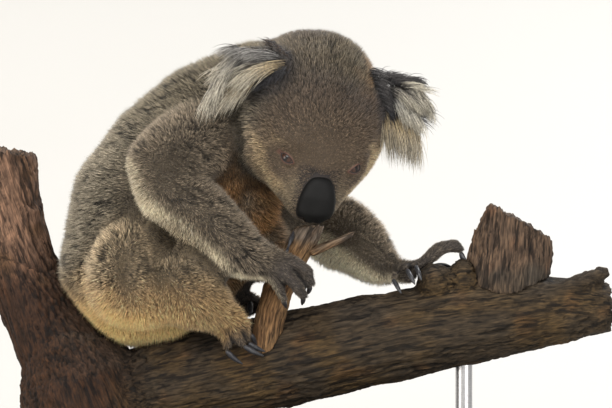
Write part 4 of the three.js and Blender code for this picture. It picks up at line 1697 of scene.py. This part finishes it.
@dataclass
class EarLocks:
    """The long hair of both ears."""

    rng: np.random.Generator
    knots: int = 5
    bunches: int = 14

    def build(self) -> list[Piece]:
        """Grows the locks of each ear.

        Returns:
            One dressed piece for each ear.
        """
        finish = HairFinish(name="ear_hair", roughness=0.58).make()
        pieces = []
        for side, fans in FANS.items():
            parts = [self.locks(fan, side) for fan in fans]
            names = ("lines", "widths", "colours", "normals", "homes")
            whole = Tufts(*(np.concatenate([getattr(part, name) for part in parts]) for name in names))
            piece = whole.mesh(f"ear_locks_{side.word}")
            piece.data.materials.append(finish)
            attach(piece, "root")
            pieces.append(piece)
        return pieces

    def locks(self, fan: Fan, side: Side) -> Tufts:
        """Lays the locks of one fan.

        Args:
            fan: what the locks are like.
            side: which ear.

        Returns:
            The tufts.
        """
        count = fan.count
        share = self.rng.random(count)[:, None]
        start, stop = (np.array(end, dtype=float) for end in fan.line)
        at = start * (1 - share) + stop * share + self.rng.normal(size=(count, 3)) * fan.spread * 0.6
        lock = np.floor(share * self.bunches) / self.bunches
        leave, arrive = (
            unit(unit(np.array(ways[0])) * (1 - share) + unit(np.array(ways[1])) * share)
            for ways in (fan.leave, fan.arrive)
        )
        wander = np.sin(lock * 91.7 + np.array([0.0, 2.1, 4.2])) * 0.13
        leave = unit(leave + wander + self.rng.normal(size=(count, 3)) * 0.10)
        arrive = unit(arrive + wander + self.rng.normal(size=(count, 3)) * 0.09)
        length = fan.length[0] * (1 - share) + fan.length[1] * share
        length = length * (0.62 + 0.5 * self.rng.random((count, 1)))
        places = np.linspace(0.0, 1.0, self.knots)
        lines = np.stack([
            at + (leave * (p - 0.5 * p**2) + arrive * 0.5 * p**2) * 1.25 * length for p in places
        ], axis=1) * MM
        taper = np.interp(places[:-1], (0, 0.3, 0.9), (0.8, 1.0, 0.35))
        widths = taper[None] * (0.24 + 0.16 * self.rng.random((count, 1))) * MM
        tone = (1.0 + 0.18 * self.rng.normal(size=(count, 1))).clip(0.55, 1.45)
        tone = tone * np.where(self.rng.random((count, 1)) < 0.22, 0.35, 1.0)
        tone = tone * (1.0 + 0.22 * np.sin(lock * 517.0))
        blend = np.interp(places, (0.0, 0.25, 0.7, 1.0), (0.0, 0.2, 0.9, 1.0))[None, :, None]
        colours = np.array(fan.root) * (1 - blend) + np.array(fan.tip) * blend
        colours = colours * tone[:, None] * np.interp(places, (0, 0.3), (0.5, 1.0))[None, :, None]
        middle, turn, _size = PINNAE[side]
        out, wide, tall = ear_axes(turn)
        gap = at - np.array(middle)
        inner = np.stack([gap @ wide, gap @ tall], axis=1) / 90.0 + 0.5
        corner = np.array([0.02 if side is Side.RIGHT else 0.52, 0.02])
        homes = corner + np.clip(inner, 0, 1) * 0.20
        return Tufts(lines, widths, colours, np.tile(out, (count, 1)), homes)


# -- Eyes, nose and claws


@dataclass
class Eyes:
    """Two brown eyes with upright slits."""

    radius: float = 8.5 * MM
    iris: float = 36.0
    slit: float = 0.15
    brown: Colour = (0.040, 0.016, 0.009)
    rim: Colour = (0.010, 0.005, 0.004)
    white: Colour = (0.120, 0.070, 0.050)

    def build(self) -> None:
        """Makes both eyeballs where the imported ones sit."""
        finish = EyeFinish().make()
        for lids in LIDS:
            side = lids.side
            low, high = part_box(f"eye_{side.word}")
            deselect()
            bpy.ops.mesh.primitive_uv_sphere_add(
                segments=48, ring_count=32, radius=self.radius, location=(low + high) / 2
            )
            ball = bpy.context.active_object
            ball.name = f"eyeball_{side.word}"
            place_in_mesh(ball)
            self.colour(ball, lids, np.array((low + high) / 2))
            ball.data.materials.append(finish)
            shade_smooth(ball)
            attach(ball, "root")
            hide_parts(f"eye_{side.word}")

    def colour(self, ball: Piece, lids: Lids, centre: Rows) -> None:
        """Paints iris, slit and white, and raises the cornea.

        Args:
            ball: the eyeball.
            lids: the lids that it looks out between.
            centre: its middle.
        """
        arm = unit(read_points(ball.data) - centre)
        along, _rise, look = lids.axes() @ HEAD.axes()
        angle = np.degrees(np.arccos(np.clip(arm @ look, -1, 1)))
        iris = smoothstep(self.iris + 4, self.iris, angle)
        colours = mix(np.tile(self.white, (len(arm), 1)), self.brown, iris)
        colours = mix(colours, self.rim, np.exp(-((angle - self.iris) / 5.0) ** 2))
        pupil = smoothstep(self.slit + 0.05, self.slit, np.abs(arm @ along)) * smoothstep(24, 19, angle)
        colours = mix(colours, (0.002, 0.002, 0.002), pupil)
        paint(ball, "coat", colours)
        bulge = 0.25 * MM * smoothstep(42, 0, angle)
        write_points(ball.data, read_points(ball.data) + arm * bulge[:, None])


@dataclass
class NosePad:
    """The bare leathery pad with its two nostrils."""

    voxel: float = 0.8 * MM
    nostril: Vec = (88.0, 11.0, -31.0)
    nostril_size: Vec = (7.0, 2.6, 4.0)
    nostril_deep: float = 4.0

    def build(self) -> Piece:
        """Makes the pad.

        Returns:
            The finished piece.
        """
        pad = copy_node("nose_pad", "nose", 0.5 * MM)
        apply_modifier(pad, "REMESH", mode="VOXEL", voxel_size=self.voxel)
        rows, edges = read_points(pad.data), read_edges(pad.data)
        rows = relax(rows, edges, 0.6, 26)
        write_points(pad.data, rows)
        local = HEAD.inside(rows)
        normals = read_normals(pad.data) @ HEAD.axes().T
        sink = np.zeros(len(rows))
        for side in Side:
            spot = np.array(self.nostril) * np.array([1.0, side.value, 1.0]) + np.array([0.0, 2.7, 0.0])
            gap = (local - spot) / np.array(self.nostril_size)
            sink = np.maximum(sink, np.exp(-((gap**2).sum(axis=1)) ** 1.6))
        middle = np.exp(-(((local[:, 1] - 2.7) / 2.2) ** 2)) * smoothstep(-20, -32, local[:, 2])
        push = 0.9 - self.nostril_deep * sink - 0.9 * middle
        write_points(pad.data, HEAD.outside(local + normals * push[:, None]))
        # Painted shade in the nostrils, kept as the coat attribute.
        shade = 1.0 - 0.85 * sink
        paint(pad, "coat", np.tile(shade[:, None], (1, 3)))
        pad.data.materials.append(NoseFinish().make())
        shade_smooth(pad)
        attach(pad, "root")
        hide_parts("nose_pad")
        return pad


@dataclass
class Claws:
    """The horn claws of hands and feet, each a piece of its own."""

    thick: float = 0.15 * MM

    def build(self) -> None:
        """Rounds each packed claw off and dresses it."""
        finish = HornFinish().make()
        nodes = sorted(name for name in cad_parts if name.startswith("claw_"))
        for node in nodes:
            claw = copy_node(node, f"horn_{node[5:]}", self.thick)
            apply_modifier(claw, "SUBSURF", levels=2, render_levels=2)
            claw.data.materials.append(finish)
            shade_smooth(claw)
            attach(claw, "root")
            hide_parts(node)


# -- The perch


@dataclass(frozen=True)
class Limb:
    """The middle line of a limb of the perch, in millimetres."""

    line: tuple[Vec, ...]
    radius: float


BARK_LIMBS: tuple[Limb, ...] = (
    Limb(((-168, 2, 94), (-44, 0, 122), (96, 0, 152), (246, 3, 175), (312, 6, 176)), 38),
    Limb(((226, -8, 190), (286, -12, 212)), 10),
    Limb(((-188, 5, 40), (-215, 8, 110), (-240, 10, 172)), 50),
    Limb(((-208, 8, 100), (-250, 18, 230), (-290, 28, 350)), 32),
)
STUB_LIMBS: tuple[Limb, ...] = (
    Limb(((-41, -20, 108), (-37, -26, 145), (-32, -33, 178), (-19, -44, 211), (-3, -55, 240),
          (12, -64, 272)), 15),
)
TWIG_LIMBS: tuple[Limb, ...] = (Limb(((2, -58, 228), (14, -60, 234), (48, -66, 250)), 5),)
STUMP_LIMBS: tuple[Limb, ...] = (Limb(((188, 0, 150), (200, 0, 310)), 33),)


@dataclass(frozen=True)
class WoodTone:
    """The broad colours of one kind of wood."""

    plain: Colour
    warm: Colour
    rust: Colour
    # What the grooves are darkened toward: painted shade.
    crack: Colour
    worn: Colour
    high: Colour
    high_from: float = 999.0
    jag: float = 3.0


BARK_TONE = WoodTone((0.034, 0.024, 0.014), (0.048, 0.030, 0.012), (0.062, 0.032, 0.012),
                     (0.004, 0.003, 0.002), (0.050, 0.041, 0.032), (0.034, 0.024, 0.014), jag=5.0)
STUB_TONE = WoodTone((0.165, 0.098, 0.046), (0.175, 0.092, 0.040), (0.150, 0.074, 0.034),
                     (0.060, 0.034, 0.018), (0.180, 0.125, 0.075), (0.110, 0.092, 0.076), 228.0, 3.5)
STUMP_TONE = WoodTone((0.040, 0.032, 0.024), (0.056, 0.038, 0.024), (0.110, 0.052, 0.026),
                      (0.006, 0.004, 0.004), (0.110, 0.094, 0.080), (0.082, 0.052, 0.033), 208.0, 3.0)
# Painted shade for the lower left of the fork.
FORK_SHADE: Colour = (0.026, 0.010, 0.004)
UPRIGHT: Colour = (0.150, 0.086, 0.056)


@dataclass(frozen=True)
class Timber:
    """One piece of the perch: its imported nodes, its grain's lines, its colours, its slot, and how
    fine its mesh and how deep its grooves are, in millimetres.
    """

    name: str
    nodes: tuple[str, ...]
    limbs: tuple[Limb, ...]
    tone: WoodTone
    voxel: float
    deep: float
    slot: str = "bare_wood"


TIMBERS: tuple[Timber, ...] = (
    Timber("bark", ("perch_branch", "perch_fork", "perch_trunk"), BARK_LIMBS, BARK_TONE, 2.0, 3.0,
           "bark"),
    Timber("broken_stub", ("perch_stub",), STUB_LIMBS, STUB_TONE, 1.2, 1.0),
    Timber("broken_twig", ("perch_twig",), TWIG_LIMBS, STUB_TONE, 0.7, 0.5),
    Timber("broken_stump", ("perch_stump",), STUMP_LIMBS, STUMP_TONE, 1.4, 2.6),
    Timber("broken_spikes", ("perch_spikes",), STUMP_LIMBS, STUMP_TONE, 0.7, 0.6),
)


@dataclass
class Perch:
    """The cut branch with its fork, its broken stub, its twig and its stump."""

    noise: Noise
    search: float = 0.012
    trees: list[tuple[BVHTree, Rows, Rows]] = field(default_factory=list)

    def build(self) -> None:
        """Makes the barked limbs and the bare broken wood."""
        for timber in TIMBERS:
            self.limb(timber)

    def limb(self, timber: Timber) -> None:
        """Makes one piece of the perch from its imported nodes.

        Args:
            timber: what the piece is made from.
        """
        parts = [copy_node(node, f"raw_{node}", 0.3 * MM) for node in timber.nodes]
        piece = join(parts, timber.name)
        apply_modifier(piece, "REMESH", mode="VOXEL", voxel_size=timber.voxel * MM)
        rows, edges = read_points(piece.data), read_edges(piece.data)
        rows = relax(rows, edges, 0.6, 10)
        write_points(piece.data, rows)
        grain, ways = self.grain(rows, timber.limbs)
        normals = read_normals(piece.data)
        rows = rows + ways * self.splinters(grain, (normals * ways).sum(axis=1), timber.tone.jag)[:, None]
        cut, push = self.grooves(rows, grain, timber.deep)
        write_points(piece.data, rows + normals * (push * MM)[:, None])
        store_vectors(piece, "grain", grain)
        paint(piece, "coat", self.tones(rows, normals, cut, timber.tone))
        shade_smooth(piece)
        piece.data.materials.append(WoodFinish(f"{timber.name}_wood", 0.8).make())
        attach(piece, "root")
        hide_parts(*timber.nodes)
        tree = BVHTree.FromObject(piece, bpy.context.evaluated_depsgraph_get())
        rows = read_points(piece.data)
        self.trees.append((tree, rows.min(axis=0), rows.max(axis=0)))

    def splinters(self, grain: Rows, facing: Rows, jag: float) -> Rows:
        """How far each point of a broken end stands out along the grain.

        Args:
            grain: the grain's coordinates by point.
            facing: how much each point faces along the grain.
            jag: the length of a splinter, in millimetres.

        Returns:
            Lengths in metres.
        """
        columns = grain * np.array([1.0, 1.0, 0.0])
        stand = self.noise.at(columns, 4.2 * MM) + 0.8 * self.noise.at(columns + 1.0, 10.0 * MM)
        return stand * smoothstep(0.25, 0.65, facing) * jag * MM

    def grooves(self, rows: Rows, grain: Rows, deep: float) -> tuple[Rows, Rows]:
        """Cuts grooves along the grain, and breaks them up with chips and lumps.

        Args:
            rows: positions.
            grain: the grain's coordinates by point.
            deep: how deep the grooves are, in millimetres.

        Returns:
            How far each point lies in a groove, and how far it moves out in millimetres.
        """
        bend = self.noise.at(rows, 26 * MM)[:, None] * 5.0 * MM
        long = (grain + bend * np.array([1.0, 1.0, 0.0])) * np.array([1.0, 1.0, 0.07])
        groove = self.noise.ridges(long, 8 * MM)
        narrow = self.noise.ridges(long + 3.0, 4.0 * MM)
        fine = self.noise.at(long, 2.6 * MM)
        lump = self.noise.at(rows, 30 * MM)
        broken = smoothstep(-0.1, 0.5, self.noise.at(rows + 9.0, 34 * MM))
        cut = (0.35 + 0.65 * broken) * smoothstep(0.76, 1.0, groove) + 0.5 * smoothstep(0.70, 1.0, narrow)
        chip = np.abs(self.noise.at(rows, 7 * MM)) * broken
        return cut, deep * (0.25 * fine - cut * 0.9 + chip * 0.9) + min(deep, 2.0) * 0.9 * lump

    def tones(self, rows: Rows, normals: Rows, cut: Rows, tone: WoodTone) -> Rows:
        """The wood's broad colours, with painted shade in the grooves and on the fork.

        Args:
            rows: positions.
            normals: the wood's normals there.
            cut: how far in a groove each point lies.
            tone: the colours of this wood.

        Returns:
            Rows of linear colours.
        """
        colours = mix(np.tile(tone.plain, (len(rows), 1)), tone.warm,
                      smoothstep(-0.2, 0.5, self.noise.at(rows, 44 * MM)))
        upright = smoothstep(-190, -225, rows[:, 0] / MM) * smoothstep(150, 215, rows[:, 2] / MM)
        colours = mix(colours, UPRIGHT, upright * 0.85)
        # Painted shade over the lower left of the fork.
        shade = smoothstep(-140, -195, rows[:, 0] / MM) * smoothstep(250, 190, rows[:, 2] / MM)
        colours = mix(colours, FORK_SHADE, shade * 0.9)
        height = rows[:, 2] / MM + self.noise.at(rows, 18 * MM) * 8
        old = smoothstep(tone.high_from, tone.high_from + 16, height)
        colours = mix(colours, tone.high, old * 0.85)
        rust = smoothstep(0.30, 0.65, self.noise.at(rows + 4.0, 26 * MM))
        colours = mix(colours, tone.rust, rust * 0.5)
        colours = mix(colours, tone.worn, smoothstep(0.25, 0.95, normals[:, 2]) * 0.5)
        colours = colours * (1.0 + 0.25 * self.noise.at(rows, 12 * MM))[:, None]
        # Painted shade in the grooves.
        return mix(colours, tone.crack, np.clip(cut, 0, 1) * 0.75)

    @staticmethod
    def grain(rows: Rows, limbs: tuple[Limb, ...]) -> tuple[Rows, Rows]:
        """Coordinates that follow the limbs: two across and one along.

        Args:
            rows: positions.
            limbs: the lines.

        Returns:
            Rows in metres, the last along the grain, and the grain's own direction by row.
        """
        best = np.full(len(rows), np.inf)
        grain = np.zeros((len(rows), 3))
        ways = np.zeros((len(rows), 3))
        for index, limb in enumerate(limbs):
            line = np.array(limb.line, dtype=float) * MM
            gap, tangent, along, arm = Anatomy.measure(rows, line)
            score = gap / (limb.radius * MM)
            chosen = score < best
            axis = unit(line[-1] - line[0])
            first = unit(np.cross(axis, np.array([0.2, 0.9, 0.3])))
            second = np.cross(axis, first)
            length = np.linalg.norm(np.diff(line, axis=0), axis=1).sum()
            own = np.stack([arm @ first, arm @ second, along * length], axis=1) + index * 0.7
            grain[chosen] = own[chosen]
            ways[chosen] = tangent[chosen]
            best[chosen] = score[chosen]
        return grain, ways

    def holds(self, points: Rows) -> Rows:
        """Whether each point lies inside the wood."""
        inside = np.zeros(len(points), dtype=bool)
        for tree, low, high in self.trees:
            for index in np.flatnonzero(((points > low) & (points < high)).all(axis=1)):
                near, normal, _face, _gap = tree.find_nearest(points[index], self.search)
                if near is not None:
                    inside[index] |= (Vector(points[index]) - near).dot(normal) < 0.0
        return inside


# -- The stand, the room and the camera


@dataclass
class Stand:
    """The plain base board and the two steel rods."""

    rod: float = 8.0 * MM
    flange: float = 17.0 * MM
    flange_tall: float = 5.0 * MM
    flange_edge: float = 1.2 * MM
    screw: float = 2.6 * MM
    screw_sunk: float = 0.5 * MM
    screw_tall: float = 0.9 * MM
    screw_edge: float = 0.4 * MM

    def build(self) -> None:
        """Dresses the base and makes the rods."""
        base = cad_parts["stand_base"]
        base.data.materials.clear()
        base.data.materials.append(PaintFinish().make())
        steel = SteelFinish().make()
        for index in (1, 2):
            node = f"stand_rod_{index}"
            low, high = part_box(node)
            middle = (low + high) / 2
            rod = self.cylinder(f"rod_{index}", self.rod, low.z, high.z, middle, 0.0)
            top = low.z + self.flange_tall
            ring = self.cylinder(f"ring_{index}", self.flange, low.z, top, middle, self.flange_edge)
            screws = []
            for turn in range(3):
                angle = math.radians(30 + 120 * turn)
                reach = (self.rod + self.flange) / 2
                spot = middle + Vector((math.cos(angle) * reach, math.sin(angle) * reach, 0.0))
                ends = top - self.screw_sunk, top + self.screw_tall
                screws.append(self.cylinder("screw", self.screw, *ends, spot, self.screw_edge))
            piece = join([rod, ring, *screws], f"stand_rod_bright_{index}")
            piece.data.materials.clear()
            piece.data.materials.append(steel)
            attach(piece, "root")
            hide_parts(node)

    @staticmethod
    def cylinder(name: str, radius: float, low: float, high: float, middle: Vector,
                 bevel: float) -> Piece:
        """Makes an upright cylinder.

        Args:
            name: its name.
            radius: its radius.
            low: where it starts.
            high: where it ends.
            middle: a point on its axis.
            bevel: how far its edges are rounded.

        Returns:
            The cylinder.
        """
        deselect()
        bpy.ops.mesh.primitive_cylinder_add(
            vertices=48, radius=radius, depth=high - low, location=(middle.x, middle.y, (low + high) / 2)
        )
        made = bpy.context.active_object
        made.name = name
        place_in_mesh(made)
        if bevel:
            apply_modifier(made, "BEVEL", width=bevel, segments=3, limit_method="ANGLE")
        shade_smooth(made, 40)
        return made


@dataclass(frozen=True)
class Lamp:
    """A square soft light: where it hangs, what it faces, its size in metres and its power."""

    name: str
    at: Vec
    aim: Vec
    size: float
    power: float
    colour: Colour


LAMPS: tuple[Lamp, ...] = (
    Lamp("key", (-1.3, 0.4, 2.3), (0, 0, 0.25), 1.0, 44.0, (1.0, 0.95, 0.87)),
    Lamp("front", (-0.6, -2.6, 1.7), (0, 0, 0.22), 1.6, 62.0, (1.0, 0.97, 0.93)),
    Lamp("low", (-1.9, -1.3, 0.35), (-0.1, 0, 0.22), 1.0, 24.0, (1.0, 0.95, 0.88)),
    Lamp("fill", (1.5, -2.0, 0.5), (0.05, 0, 0.24), 1.0, 30.0, (1.0, 0.97, 0.94)),
    Lamp("rim", (1.3, 1.2, 1.6), (0, 0, 0.25), 0.8, 30.0, (0.96, 0.98, 1.0)),
)


@dataclass
class Studio:
    """A pale floor that sweeps up behind, soft lights and the camera."""

    floor: Colour = (0.56, 0.555, 0.54)
    half: float = 3.4
    back: float = 0.55
    bend: float = 1.9
    tall: float = 1.6
    steps: int = 24
    air: Colour = (0.84, 0.83, 0.82)
    air_strength: float = 0.70

    def build(self) -> None:
        """Makes the floor, the lights, the world and the camera."""
        self.sweep()
        for lamp in LAMPS:
            self.light(lamp)
        world = bpy.data.worlds.new("room")
        world.use_nodes = True
        glow = world.node_tree.nodes["Background"].inputs
        glow["Color"].default_value = (*self.air, 1.0)
        glow["Strength"].default_value = self.air_strength
        bpy.context.scene.world = world
        bpy.context.scene.view_settings.view_transform = "Standard"
        self.camera()

    def sweep(self) -> None:
        """Makes the floor and its curve up to the wall."""
        deselect()
        bpy.ops.mesh.primitive_plane_add(size=2 * self.half, location=(0, self.back - self.half, 0))
        floor = bpy.context.active_object
        floor.name = "floor_sweep"
        place_in_mesh(floor)
        bpy.ops.object.mode_set(mode="EDIT")
        bpy.ops.mesh.select_mode(type="EDGE")
        bpy.ops.mesh.select_all(action="DESELECT")
        bpy.ops.object.mode_set(mode="OBJECT")
        for edge in floor.data.edges:
            ends = [floor.data.vertices[index].co.y for index in edge.vertices]
            edge.select = min(ends) > self.back * 0.9
        bpy.ops.object.mode_set(mode="EDIT")
        for step in range(1, self.steps + 1):
            angle = math.radians(90 * step / self.steps)
            last = math.radians(90 * (step - 1) / self.steps)
            bpy.ops.mesh.extrude_region_move(TRANSFORM_OT_translate={"value": (
                0.0, (math.sin(angle) - math.sin(last)) * self.bend,
                (math.cos(last) - math.cos(angle)) * self.bend)})
        bpy.ops.mesh.extrude_region_move(TRANSFORM_OT_translate={"value": (0.0, 0.0, self.tall)})
        bpy.ops.object.mode_set(mode="OBJECT")
        dress = Dresser("studio_floor")
        cloud = dress.noise(dress.object_place(), 1.3, 2.0)
        low = tuple(0.97 * value for value in self.floor)
        dress.colour(dress.ramp(cloud, (0.3, low), (0.7, self.floor)))
        dress.shader_values(Roughness=0.75, Specular_IOR_Level=0.2)
        dress.clear_from_behind()
        floor.data.materials.append(dress.material)
        shade_smooth(floor, 40)

    @staticmethod
    def light(lamp: Lamp) -> None:
        """Hangs one lamp so that it faces its aim."""
        data = bpy.data.lights.new(lamp.name, "AREA")
        data.size = lamp.size
        data.energy = lamp.power
        data.color = lamp.colour
        hung = bpy.data.objects.new(lamp.name, data)
        hung.location = lamp.at
        hung.rotation_euler = (Vector(lamp.aim) - Vector(lamp.at)).to_track_quat("-Z", "Y").to_euler()
        bpy.context.scene.collection.objects.link(hung)

    @staticmethod
    def camera() -> None:
        """Sets the camera level with the animal."""
        data = bpy.data.cameras.new("camera")
        data.sensor_width = SENSOR
        data.lens = SENSOR * CAMERA_AWAY / VIEW_WIDTH
        camera = bpy.data.objects.new("camera", data)
        camera.location = (0.0, -CAMERA_AWAY, CAMERA_HEIGHT)
        camera.rotation_euler = (math.radians(90), 0.0, 0.0)
        bpy.context.scene.collection.objects.link(camera)
        bpy.context.scene.camera = camera


def main() -> None:
    """Builds the model piece by piece."""
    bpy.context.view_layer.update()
    noise = Noise(SEED)
    rng = np.random.default_rng(SEED)
    markings = Markings(noise)
    Studio().build()
    log.info("room, lights and camera made")
    Stand().build()
    log.info("stand made")
    perch = Perch(noise)
    perch.build()
    log.info("perch made")
    skin = Skin(markings).build()
    log.info("skin made with %d faces", len(skin.data.polygons))
    Eyes().build()
    NosePad().build()
    Claws().build()
    log.info("eyes, nose and claws made")
    pieces = Fur(skin, markings, noise, rng, perch).build()
    pieces += EarLocks(rng).build()
    total = sum(len(piece.data.polygons) for piece in pieces)
    log.info("coat made in %d pieces with %d faces", len(pieces), total)
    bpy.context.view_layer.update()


if __name__ == "__main__":
    main()
